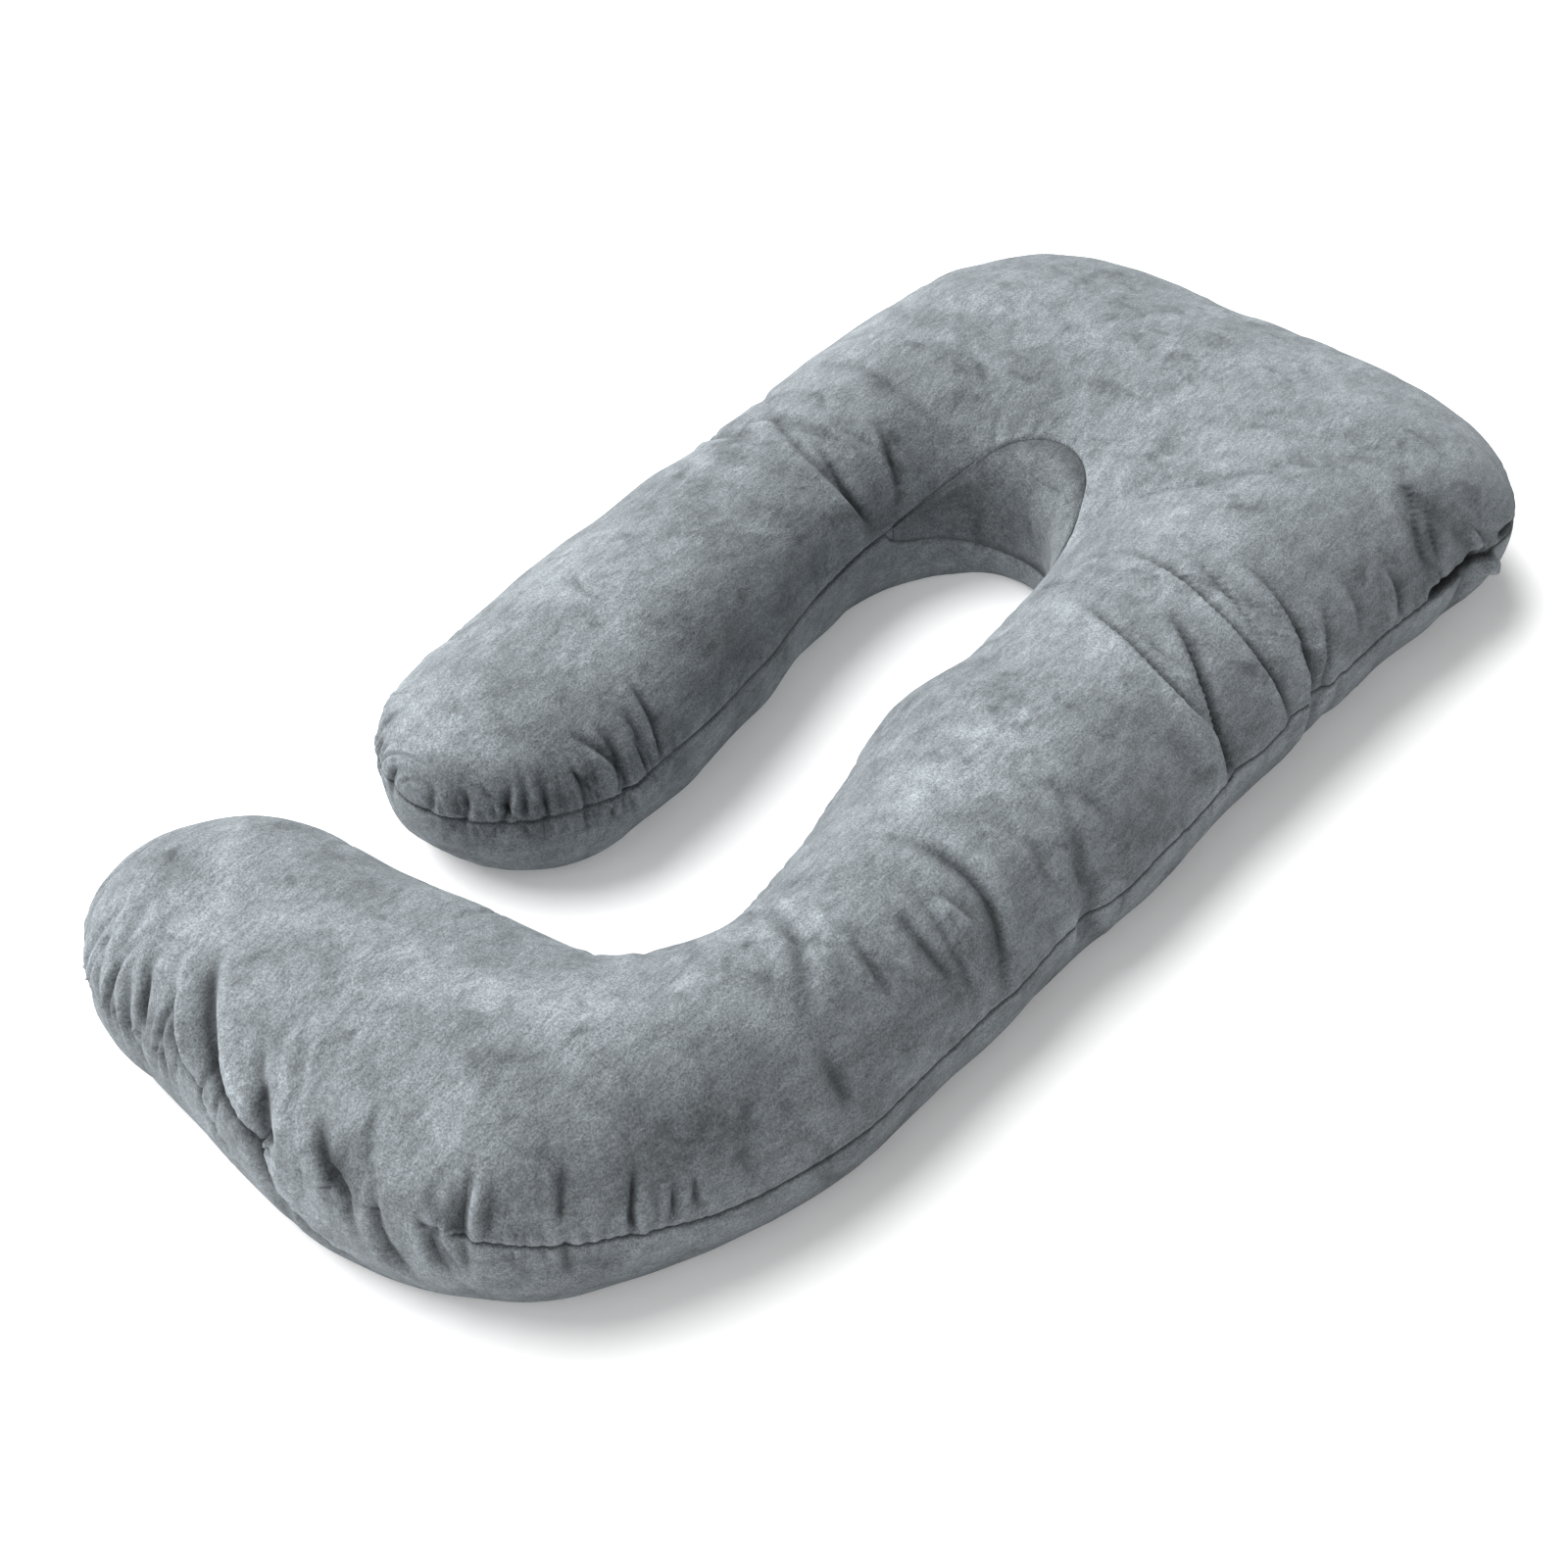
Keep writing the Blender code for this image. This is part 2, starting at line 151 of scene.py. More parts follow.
# Folds pressed into the cloth. run counts the section rows and girth counts quarter turns round a
# section: 0 outer seam, 1 top, 2 inner seam, 3 underside. bow is how far the run swings out midway. depth,
# half width, the height of the fold's raised lip and how far the lip leans over the fold are in mm. A
# depth below 0 is a ridge, and a lip below 0 is on the fold's other side.
FOLD_COLUMNS = ("run_1", "girth_1", "run_2", "girth_2", "bow", "depth", "width", "lip", "lean")
FOLDS = [
    # the free arm's tip
    (-0.81, 1.25, -0.95, 2.09, 0, 3, 4, -1.5, 0),
    (-0.68, 1.5, -0.76, 2.06, 0, 6, 4, -2, 1),
    (-0.51, 1.63, -0.59, 2.05, 0, 5, 4, -2, 1),
    (-0.46, 1.7, -0.53, 2.03, 0, 4, 4, 2, 0),
    (-0.37, 1.62, -0.42, 2.04, 0, 4, 4, 2, 0),
    (-0.25, 1.7, -0.25, 2.04, 0.02, 4, 4, 2, 0),
    (-0.17, 1.48, -0.08, 2.1, 0.05, 6, 5, 3, 1),
    (-0.05, 1.5, -0.06, 1.8, 0, 3, 5, 2, 0),
    (0.2, 1.55, 0.12, 1.95, 0, 3, 5, 2, 0),
    (0.46, 1.45, 0.36, 1.9, 0, 5, 5, 2, 1),
    (-0.8, 0.55, -0.8, -0.1, 0, 5, 5, 2, 0),
    (-0.56, 0.35, -0.66, -0.1, 0, 3, 4, 2, 0),
    # the free arm's neck
    (4.6, 1.15, 4.5, 1.9, -0.15, 5, 5, 2, 0),
    (4.8, 0.65, 4.6, 1.9, -0.4, 5, 6, 3, 0),
    (5.5, 1.3, 5.3, 1.8, 0, 5, 5, 2, 0),
    # the head's right corner
    (14.9, 0.77, 16.55, 0.1, 0.5, 5, 9, 0, 0),
    (15.75, 0.52, 16.4, 0.17, 0.1, 5, 7, 0, 0),
    (15.72, 0.28, 15.62, 0.04, 0, 4, 5, 2, 0),
    (16.85, 0.38, 17.06, 0.04, 0, 4, 5, 3, 0),
    (17.25, 0.52, 17.57, 0.16, 0, 3, 6, 2, 0),
    # the long arm's neck
    (17.2, 1.15, 18.4, 0.45, 0.15, 4, 4, 2, 1),
    (17.6, 0.48, 18.1, -0.02, 0.1, 4, 5, 3, 0),
    (17.4, 0.88, 18.25, 0, 0.2, 7, 5, 4, 2),
    (17.1, 1.35, 18.54, 0, 0.5, 9, 5, 4, 3),
    (18.35, 0.95, 19.24, 0.02, 0.3, 10, 6, 5, 4),
    (18.3, 1.3, 19.25, 0.3, 0.28, 8, 5, 4, 3),
    (18.7, 1, 19.05, 0.55, 0.05, 4, 4, 2, 1),
    (19.2, 0.75, 19.5, 0, 0, -4, 6, 0, 0),
    # the long arm
    (20.5, 0.68, 20.44, 0.4, 0, 3, 8, 1, 0),
    (21.15, 0.6, 21.31, 0.34, 0, 3, 8, 1, 0),
    (22, 1.05, 22.16, 0.05, -0.18, 6, 8, -4, 1),
    (22.25, 0.75, 22.12, 0.48, 0, 4, 6, 2, 0),
    (22.4, 0.85, 22.43, 0.15, 0.06, 5, 7, -3, 0),
    (22.72, 0.85, 22.6, 0.28, 0.03, 5, 7, -3, 0),
    # the bend
    (23.3, 0.95, 23.26, 0.45, 0.03, 3, 6, 2, 0),
    (23.35, 1.15, 23.84, 0.72, 0, -3, 7, 0, 0),
    (23.8, 1.2, 24.15, 0.75, 0, 4, 8, -3, 0),
    (23.55, 1.45, 23.9, 1.05, -0.1, -3, 6, 0, 0),
    (24.22, 0.52, 24.05, 0.2, 0, 4, 9, 3, 0),
    (25.17, 0.32, 25.1, 0.12, 0, 3, 7, 1, 0),
    # where the bend meets the hook
    (25.66, 0.26, 25.63, 0.03, 0, 4, 4, 2, 0),
    (25.85, 0.28, 25.85, 0.03, 0, 4, 4, 2, 0),
    (26.05, 0.3, 26, 0.02, 0, 4, 4, 2, 0),
    (26.2, 0.38, 26.22, 0, 0, 7, 4, -3, 1),
    (26.12, 0.04, 26.34, -0.14, 0, -4, 5, 0, 0),
    (26.83, 0.48, 26.83, 0.16, 0, 4, 5, 2, 0),
    (26.8, 0.05, 26.78, -0.08, 0, 4, 4, 0, 0),
    (27.43, 0.38, 27.46, 0.02, 0, 4, 5, 2, 0),
    (27.66, 0.44, 27.7, -0.12, 0, 8, 5, -3, 1),
    (27.97, 0.02, 27.73, -0.1, 0, 4, 4, -2, 0),
    # the hook's front
    (31.35, 0.68, 30.25, 0.08, 0.05, 9, 9, -3, 3),
    (30.75, 0.33, 28.95, -0.26, 0.17, 19, 7, -6, 7),
    (30.25, 0.52, 29.65, 0, 0, 7, 7, -3, 1),
    (31.05, 0.08, 30.3, -0.13, 0.05, 7, 4, -2, 1),
    (31.55, 0.5, 31, 0, 0, 5, 5, -3, 1),
    (31.6, 0.68, 30.95, 0.12, 0.1, -4, 5, 0, 0),
    (31.95, 0.45, 31.7, 0.05, 0, 5, 5, 3, 1),
    # the hook's puckers
    (29.3, 0.4, 28.85, -0.02, 0, 8, 8, 2, 0),
    (28.62, 0.05, 28.22, -0.2, 0, 6, 5, 3, 0),
    (28.1, 0.05, 27.82, -0.14, 0, 6, 5, 3, 0),
    (29.05, 0.18, 28.7, -0.08, 0, 5, 4, 2, 0),
]

# Where a deep fold meets the outer seam, the seam jumps up by rise mm and settles again within reach mm.
STEP_COLUMNS = ("run", "rise", "reach")
SEAM_STEPS = {"neck_lower": (19.22, 8, 45), "neck_middle": (18.53, 6, 30), "neck_upper": (18.27, 8, 35)}
STEP_HEIGHT = 28    # how far above and below the seam the cloth moves with it, mm

# Pockets where the top's edge gapes at the head's corner: at which run number, how far they reach along the
# outer seam, how deep they are, half their height, and how far above the seam their middle lies, in mm.
# Between them an ear of cloth sticks out.
POCKET_COLUMNS = ("run", "reach", "depth", "drop", "above")
POCKETS = {"wide": (16.14, 0.50, 15, 7, 5), "narrow": (15.20, 0.30, 8, 6, 9)}
BROW_AT, BROW_SHARE = 1.6, 0.25  # its brow: how many drops above its middle, and its share of the depth
EAR = {"run": 15.64, "girth": 3.96, "height": 17, "radius": 11, "top": 3, "edge": 4}
SQUARE_EDGE = 4  # how square the pockets and the ear are: 2 is a bell

# Places where the pile looks lighter or darker: partly where a hand has brushed the pile another way, and
# partly painted light and shade that make most tops lighter and the sides darker, as the light falls. The
# middle's run number and girth, the radius in mm and the shade, which is lighter above 0 and darker below.
NAP_AND_PAINTED_LIGHT_COLUMNS = ("run", "girth", "radius", "shade")
NAP_AND_PAINTED_LIGHT = {
    "arm_tip":    (-0.4, 1.2, 55, 0.35),
    "arm_top":    (1, 0.92, 75, 0.6),
    "arm_inner":  (1.55, 1.48, 55, -0.3),
    "arm_neck":   (6.15, 1, 50, -0.25),
    "head_left":  (8.9, 0.95, 75, 0.35),
    "head_right": (12.8, 0.87, 65, 0.35),
    "corner":     (17.3, 0.55, 75, -0.35),
    "neck_top":   (18.8, 1.23, 45, 0.25),
    "neck_outer": (20, 0.55, 65, -0.3),
    "arm_middle": (20.6, 1, 75, 0.35),
    "bend_outer": (23.8, 0.46, 60, -0.3),
    "bend_lower": (25.6, 0.7, 75, -0.45),
    "bend_inner": (27.3, 1.15, 60, 0.35),
    "hook_top":   (29.6, 1.16, 75, 0.3),
    "hook_tip":   (32.1, 0.98, 55, 0.45),
}
NAP_AND_PAINTED_LIGHT_EDGE = 0.10  # how ragged the edge of such a place is
NAP_AND_PAINTED_LIGHT_FINER = 3    # how much finer that raggedness is than the filling's unevenness
NAP_AND_PAINTED_LIGHT_POWER = 2.5  # how sharp its edge is: 2 is a bell


def seams_in_plan(at):
    """Plan points of the inner and the outer seam, in mm, from rows of the section table."""
    return np.column_stack([at["in_x"], at["in_y"]]), np.column_stack([at["out_x"], at["out_y"]])


def sections_at(run):
    """Rows of the section table at fractional run numbers, on a smooth curve through them."""
    rows = np.array(list(SECTIONS.values()), float)
    run = np.clip(run, 0, LAST)
    base = np.minimum(run.astype(int), LAST - 1)
    t = (run - base)[:, None]
    rows = np.vstack([2 * rows[0] - rows[1], rows, 2 * rows[-1] - rows[-2]])
    a, b, c, d = (rows[base + i] for i in range(4))
    curve = 2 * b + (c - a) * t
    curve += (2 * a - 5 * b + 4 * c - d) * t ** 2
    curve += (3 * b - a - 3 * c + d) * t ** 3
    return dict(zip(COLUMNS, (0.5 * curve).T))


def tip_turn(run):
    """0 along the body, growing to a quarter turn at either tip."""
    return np.clip(np.maximum(-run, run - LAST), 0, 1) * np.pi / 2


def tip_height(run):
    """Share of its height that the body keeps: 1 along the body, falling to 0 at either tip."""
    return np.cos(tip_turn(run)) ** TIP_DRAW


def surface(run, girth):
    """Points of the smooth body, in mm. Each tip adds one more step of run, before 0 and after LAST."""
    run, girth = np.broadcast_arrays(np.asarray(run, float), np.asarray(girth, float))
    shape = run.shape
    run, girth = run.ravel(), girth.ravel()
    at = sections_at(run)
    turn = tip_turn(run)
    inner, outer = seams_in_plan(at)
    tip = np.where((run < 0)[:, None], ARM_TIP, HOOK_TIP)
    middle = (inner + outer) / 2
    half = (outer - inner) / 2 * np.cos(turn)[:, None]
    middle = middle + (tip - middle) * np.sin(turn)[:, None]

    angle = girth * np.pi / 2
    c, s = np.cos(angle), np.sin(angle)
    under = np.where(c < 0, at["in_square"], at["out_square"])
    square = np.where(s >= 0, TOP_SQUARE, under)
    side = np.sign(c) * np.abs(c) ** (2 / square)
    seam = (at["in_seam"] + at["out_seam"]) / 2 + (at["out_seam"] - at["in_seam"]) / 2 * c
    height = np.where(s >= 0, at["crown"] - seam, -(seam + SAG))
    z = seam + height * np.abs(s) ** (2 / square) * tip_height(run)
    plan = middle + side[:, None] * half - MIDDLE
    return np.column_stack([plan, np.maximum(z, 0)]).reshape(*shape, 3)


POLES = np.vstack([surface(-1.0, 0.0), surface(LAST + 1.0, 0.0)])


def unit(vectors):
    """The vectors at length 1."""
    return vectors / np.maximum(np.linalg.norm(vectors, axis=-1, keepdims=True), LEAST_LENGTH)


def lengths_along(points):
    """Distance of each point from the first, along the line through them."""
    return np.concatenate([[0], np.cumsum(np.linalg.norm(np.diff(points, axis=0), axis=1))])


def normals(run, girth):
    """Unit outward directions of the smooth body."""
    along = surface(run + SLOPE_STEP, girth) - surface(run - SLOPE_STEP, girth)
    around = surface(run, girth + SLOPE_STEP) - surface(run, girth - SLOPE_STEP)
    return unit(np.cross(around, along))


def ring_runs(scale=1.0):
    """Run numbers of the mesh's rings, as far apart as the table's step column says."""
    fine = np.linspace(-1, LAST + 1, RUN_STEPS)
    outer, top = (np.linalg.norm(np.diff(surface(fine, girth), axis=0), axis=1) for girth in (0, 1))
    spans = (outer + top) / 2 / (scale * sections_at((fine[1:] + fine[:-1]) / 2)["step"])
    counted = np.concatenate([[0], np.cumsum(spans)])
    count = int(round(counted[-1]))
    return np.interp(np.linspace(0, counted[-1], count + 1), counted, fine)[1:-1]


def panel_opening(run):
    """How far the two edges of the crescent lie above and below the inner seam, in mm."""
    t = np.clip((run - PANEL["from"]) / (PANEL["to"] - PANEL["from"]), 0, 1)
    lens = np.sin(np.pi * t)
    above = np.maximum(PANEL["above"] * lens ** PANEL["above_power"], SEAM_FLOOR / 2)
    below = np.maximum(PANEL["below"] * lens ** PANEL["below_power"], SEAM_FLOOR / 2)
    return above, below


def girth_beside_seam(run, seam, offset):
    """Girth of points offset mm above the inner seam (2) or the outer one (0), or below it if negative."""
    at = sections_at(run)
    height = at["in_seam"] if seam == 2 else at["out_seam"]
    under = at["in_square"] if seam == 2 else at["out_square"]
    room = np.where(offset >= 0, at["crown"] - height, height + SAG) * tip_height(run)
    square = np.where(offset >= 0, TOP_SQUARE, under)
    share = np.clip(np.abs(offset) / np.maximum(room, NEAR_ZERO), 0, HEIGHT_LIMIT)
    turn = np.arcsin(share ** (square / 2)) / (np.pi / 2) * np.sign(offset)
    return seam - turn if seam == 2 else seam + turn


def wall_girths(runs, seam, edge):
    """Girths of the points down the wall under a seam, from edge mm below it to the floor."""
    at = sections_at(runs)
    height = at["in_seam"] if seam == 2 else at["out_seam"]
    foot = np.minimum(height, WALL_LIMIT * (height + SAG) * tip_height(runs))
    return [girth_beside_seam(runs, seam, -(edge + (foot - edge) * share)) for share in WALL_SHARES]


def under_girths(runs, inner_edge, outer_edge, flat_count):
    """Girths of the points down the inner wall, across the flat underside and up the outer wall."""
    inner_wall = wall_girths(runs, 2, inner_edge)
    outer_wall = [WHOLE_TURN + girth for girth in wall_girths(runs, 0, outer_edge)]
    across = outer_wall[-1] - inner_wall[-1]
    flat = [inner_wall[-1] + across * (i + 1) / (flat_count + 1) for i in range(flat_count)]
    return [*inner_wall, *flat, *reversed(outer_wall)]


def ring_girths(runs):
    """Girths of the mesh points round each ring, and the numbers of the columns that lie on the seams."""
    above, below = panel_opening(runs)
    beside = [offset * np.minimum(1, tip_height(runs) * TIP_SPREAD) for offset in BESIDE_SEAM]
    columns = [0 * runs]
    columns += [girth_beside_seam(runs, 0, offset) for offset in beside]
    first, last = columns[-1], girth_beside_seam(runs, 2, above + beside[-1])
    columns += [first + (last - first) * (i + 1) / (TOP_COUNT + 1) for i in range(TOP_COUNT)]
    columns += [girth_beside_seam(runs, 2, above + offset) for offset in reversed(beside)]
    upper = len(columns)
    for i in range(PANEL_ROWS):
        height = above - (above + below) * i / (PANEL_ROWS - 1) + NEAR_ZERO
        columns.append(girth_beside_seam(runs, 2, height))
    lower = len(columns) - 1
    columns += [girth_beside_seam(runs, 2, -(below + offset)) for offset in beside]
    columns += under_girths(runs, below + beside[-1], beside[-1], FLAT_COUNT)
    columns += [WHOLE_TURN + girth_beside_seam(runs, 0, -offset) for offset in reversed(beside)]
    return np.column_stack(columns), upper, lower


# Natural creases of the filled cover

SIM_SCALE = 2.0      # the simulated cover's ring spacing, times the body's
SIM_TOP = 34         # its points across the top
SIM_FLAT = 4         # its points across the flat underside
SIM_FRAMES = 20
SIM_SLACK = 1.015    # how much larger the cut cloth is than the filled form
SIM_SMOOTH = 15      # creases wider than this, in mm, are left to the section table
SIM_CAP = 3.5        # the most that a point may move, mm
SIM_RISE = 45        # the creases fade from this height down to the floor, mm
SIM_CALM = {"from": 8, "to": 16, "edge": 1.5, "share": 0.75}  # runs where the head lies nearly smooth
BELL_REACH = 2.5     # how many widths of a bell are counted
PLUSH_CLOTH = {
    "quality": 6,
    "mass": 0.25,
    "tension_stiffness": 12,
    "compression_stiffness": 6,
    "shear_stiffness": 3,
    "bending_stiffness": 0.15,
    "use_pressure": True,
    "uniform_pressure_force": 4,
}


def blur(values, rows, columns):
    """values averaged over a bell of that many rows and, round the ring, columns."""
    for axis, size in ((0, rows), (1, columns)):
        reach = int(math.ceil(BELL_REACH * size))
        steps = np.arange(-reach, reach + 1)
        weights = np.exp(-0.5 * (steps / size) ** 2)
        weights /= weights.sum()
        total = np.zeros_like(values)
        for step, weight in zip(steps, weights):
            if axis:
                total += weight * np.roll(values, step, axis=1)
            else:
                index = np.clip(np.arange(len(values)) + step, 0, len(values) - 1)
                total += weight * values[index]
        values = total
    return values


def cut_cloth(runs, girths, points):
    """The cover's two sheets as cut flat: every section is laid out along its own plan direction."""
    inner, outer = seams_in_plan(sections_at(runs))
    across = unit(outer - inner)
    middle = (surface(runs, 0) + surface(runs, 2))[:, :2] / 2
    steps = np.linalg.norm(np.diff(points, axis=1, append=points[:, :1]), axis=2)
    seam = np.argmin(np.abs(girths[0] - 2))
    top = np.cumsum(steps[:, :seam], axis=1)
    width = top[:, -1:]
    bottom = np.cumsum(steps[:, seam:], axis=1)
    bottom = bottom / bottom[:, -1:] * width
    lateral = np.hstack([0 * width, top, width - bottom[:, :-1]])
    flat = middle[:, None] + (width / 2 - lateral)[..., None] * across[:, None]
    return np.dstack([flat * SIM_SLACK, 0 * lateral])


def tube_faces(rings, around):
    """Faces of a tube of rings, open at both ends."""
    index = np.arange(rings * around).reshape(rings, around)
    following = np.roll(index, -1, axis=1)
    quads = np.stack([index[:-1], following[:-1], following[1:], index[1:]], axis=-1).reshape(-1, 4)
    return [*map(tuple, quads.tolist())]


def closed_faces(rings, around):
    """Faces of a tube of rings, closed at each end by a fan to a pole. The poles are the last two points."""
    first_pole, last_ring = rings * around, (rings - 1) * around
    fans = [(k, first_pole, (k + 1) % around) for k in range(around)]
    fans += [(last_ring + k, last_ring + (k + 1) % around, first_pole + 1) for k in range(around)]
    return [*tube_faces(rings, around), *fans]


def filled_cover(points, flat):
    """The simulated cover's points, in mm: cut flat, sewn to the body's form and filled with air."""
    flat_poles = np.vstack([flat[0].mean(axis=0), flat[-1].mean(axis=0)])
    data = bpy.data.meshes.new("cover_for_cloth")
    vertices = np.vstack([points.reshape(-1, 3), POLES]) * MM
    data.from_pydata(vertices, [], closed_faces(*points.shape[:2]))
    cover = add_object("cover_for_cloth", data)
    cover.shape_key_add(name="filled")
    cut = cover.shape_key_add(name="cut")
    cut.data.foreach_set("co", (np.vstack([flat.reshape(-1, 3), flat_poles]) * MM).ravel())

    cloth = cover.modifiers.new("Cloth", "CLOTH")
    for name, value in PLUSH_CLOTH.items():
        setattr(cloth.settings, name, value)
    cloth.settings.effector_weights.gravity = 0
    cloth.settings.rest_shape_key = cut
    cloth.collision_settings.use_collision = False
    cloth.point_cache.frame_start, cloth.point_cache.frame_end = 1, SIM_FRAMES
    for step in range(1, SIM_FRAMES + 1):
        bpy.context.scene.frame_set(step)
    evaluated = cover.evaluated_get(bpy.context.evaluated_depsgraph_get())
    moved = np.empty(len(data.vertices) * 3, np.float32)
    evaluated.data.vertices.foreach_get("co", moved)
    bpy.context.scene.frame_set(1)
    bpy.data.objects.remove(cover, do_unlink=True)
    return moved.reshape(-1, 3)[:-len(POLES)].reshape(points.shape) / MM


def cover_creases():
    """Run numbers, girths and outward offsets, in mm, of the creases that the cover takes when filled."""
    runs = ring_runs(SIM_SCALE)
    columns = [i * 2.0 / SIM_TOP + 0 * runs for i in range(SIM_TOP + 1)]
    columns += under_girths(runs, 0, 0, SIM_FLAT)
    girths = np.column_stack(columns)
    run = runs[:, None] + 0 * girths
    points, outward = surface(run, girths), normals(run, girths)
    moved = filled_cover(points, cut_cloth(runs, girths, points)) - points
    offset = np.einsum("ijk,ijk->ij", moved, outward)
    spacing = np.median(np.linalg.norm(np.diff(points, axis=0), axis=2))
    round_spacing = np.median(np.linalg.norm(np.diff(points, axis=1), axis=2))
    offset -= blur(offset, SIM_SMOOTH / spacing, SIM_SMOOTH / round_spacing)
    return runs, girths, SIM_CAP * np.tanh(offset / SIM_CAP)


def creases_at(runs, girths, heights):
    """The cover's own creases, in mm, at the body's points, calmer on the head and near the floor."""
    from_runs, from_girths, offset = cover_creases()
    total = np.zeros_like(girths)
    at = np.interp(runs, from_runs, np.arange(len(from_runs)))
    low = np.minimum(at.astype(int), len(from_runs) - 2)
    part = (at - low)[:, None]
    known = from_girths[low] * (1 - part) + from_girths[low + 1] * part
    values = offset[low] * (1 - part) + offset[low + 1] * part
    for i in range(len(runs)):
        row_girths = np.concatenate([known[i], [WHOLE_TURN]])
        row_values = np.concatenate([values[i], values[i, :1]])
        total[i] = np.interp(girths[i], row_girths, row_values)
    head = np.clip((runs - SIM_CALM["from"]) / SIM_CALM["edge"], 0, 1)
    head = head * np.clip((SIM_CALM["to"] - runs) / SIM_CALM["edge"], 0, 1)
    calm = (1 - SIM_CALM["share"] * head)[:, None] * np.clip(heights / SIM_RISE, 0, 1)
    return total * calm


# Folds and puckers

FOLD_POINTS = 121  # points along a fold's path
FOLD_END, FOLD_TAPER = 0.02, 0.7  # the share at each end where a fold is shallowest, and how soon it deepens
FOLD_REACH = 6  # how many half widths away a fold is still felt
TROUGH_POWER = 1.4  # how square a fold's trough is
LIP_AT = 1.4  # how many half widths from the fold its lip stands
LIP_NEAR, LIP_FAR = 0.7, 2.2  # how wide the lip is on the fold's side and beyond, in half widths

# Pleats where the cover is drawn up along a seam. seam is 0 for the outer and 2 for the inner one, and the
# rest are how many, between which run numbers, how deep and half as wide, and how far they reach above and
# below the seam, all in mm.
PLEAT_COLUMNS = ("seam", "run_1", "run_2", "count", "depth", "width", "up", "down")
PLEATS = {
    "arm_tip_outer":  (0, -0.88, 0.6, 34, 3.6, 3, 70, 44),
    "arm_tip_inner":  (2, -0.88, 0.6, 34, 3.8, 3, 60, 46),
    "arm_outer":      (0, 0.6, 7.5, 40, 1.3, 5, 34, 16),
    "arm_inner":      (2, 0.6, 4.6, 20, 1.4, 5, 34, 14),
    "neck_upper":     (2, 5.2, 17, 18, 1.2, 6, 50, 6),
    "head_left":      (0, 7.5, 10.5, 24, 2, 5, 44, 20),
    "head_back":      (0, 10.5, 13.5, 18, 1.2, 5, 28, 16),
    "head_right":     (0, 13.5, 17.2, 26, 2.2, 4.5, 50, 20),
    "right_neck":     (0, 17.2, 19.6, 12, 1.6, 4, 30, 24),
    "right_outer":    (0, 19.6, 25.4, 34, 1.4, 5.5, 44, 14),
    "right_inner":    (2, 17.2, 22.5, 24, 1.4, 6, 50, 14),
    "bend_inner":     (2, 22, 27.5, 26, 2.2, 5, 90, 16),
    "hook_bottom":    (0, 25.4, 27.9, 20, 2.8, 4, 50, 26),
    "hook_front":     (0, 27.9, 31.4, 12, 2.2, 5, 40, 50),
    "hook_tip_outer": (0, 31.4, 33.6, 15, 3.6, 5.5, 110, 60),
    "hook_tip_inner": (2, 31, 33.75, 20, 1.8, 4.5, 40, 18),
    "hook_inner":     (2, 27.5, 31, 16, 1.2, 5, 30, 14),
}
PLEAT_JITTER = 0.4  # how far a pleat strays from its place, in spacings
PLEAT_DEPTHS, PLEAT_WIDTHS = (0.35, 1.4), (0.6, 1.3)  # the least and the most of the table's value
PLEAT_REACHES = (0.4, 1.25)  # the same for how far it reaches up and down
PLEAT_SLANT, PLEAT_CURL = 0.22, 0.0022  # how much pleats lean, and how much they curl in each mm
PLEAT_FELT = {"widths": 5, "reaches": 0.7}  # how far along the seam a pleat is still felt
PLEAT_FADE = 1.1  # how soon a pleat fades away from the seam
PLEAT_AT_SEAM, PLEAT_OPENS = 0.7, 0.6  # its share of the width at the seam, and how much it opens
PLEAT_POWER = 1.5  # how square its trough is
RIDGE_HEIGHT, RIDGE_AT = 0.5, 1.8  # the ridges beside it: their share of its depth, how far off
SEAM_HIDDEN, SEAM_FADE = (27.75, 33.4), 0.35  # runs between which the outer seam is hidden, and its fading
SEAM_HOLD, SEAM_HOLD_WIDTH = 0.75, 6  # how much of a pleat the stitching takes out, how far off, mm
SEED = 11

LUMPS = ((190, 1.6), (120, 1.0), (75, 0.55), (48, 0.3))  # wavelength and height of the filling's lumps, mm
LUMP_WAVES, LUMP_SHARE = 5, 2.2  # waves of each kind, and what their sum is divided by
LUMP_PHASE = 6.3  # the most that a wave is shifted, radians


def seam_shown(runs):
    """1 where the outer seam shows, and 0 along the hook's front, where the folds hide it."""
    start = np.clip((runs - SEAM_HIDDEN[0]) / SEAM_FADE, 0, 1)
    end = np.clip((SEAM_HIDDEN[1] - runs) / SEAM_FADE, 0, 1)
    return 1 - np.minimum(start, end)


def fold_path(fold):
    """Points, tangents and depth shares along a fold, on the smooth body."""
    t = np.linspace(0, 1, FOLD_POINTS)
    run = fold["run_1"] + (fold["run_2"] - fold["run_1"]) * t + fold["bow"] * np.sin(np.pi * t)
    girth = fold["girth_1"] + (fold["girth_2"] - fold["girth_1"]) * t
    points = surface(run, girth)
    share = np.sin(np.pi * np.clip(t, FOLD_END, 1 - FOLD_END)) ** FOLD_TAPER
    return points, unit(np.gradient(points, axis=0)), share


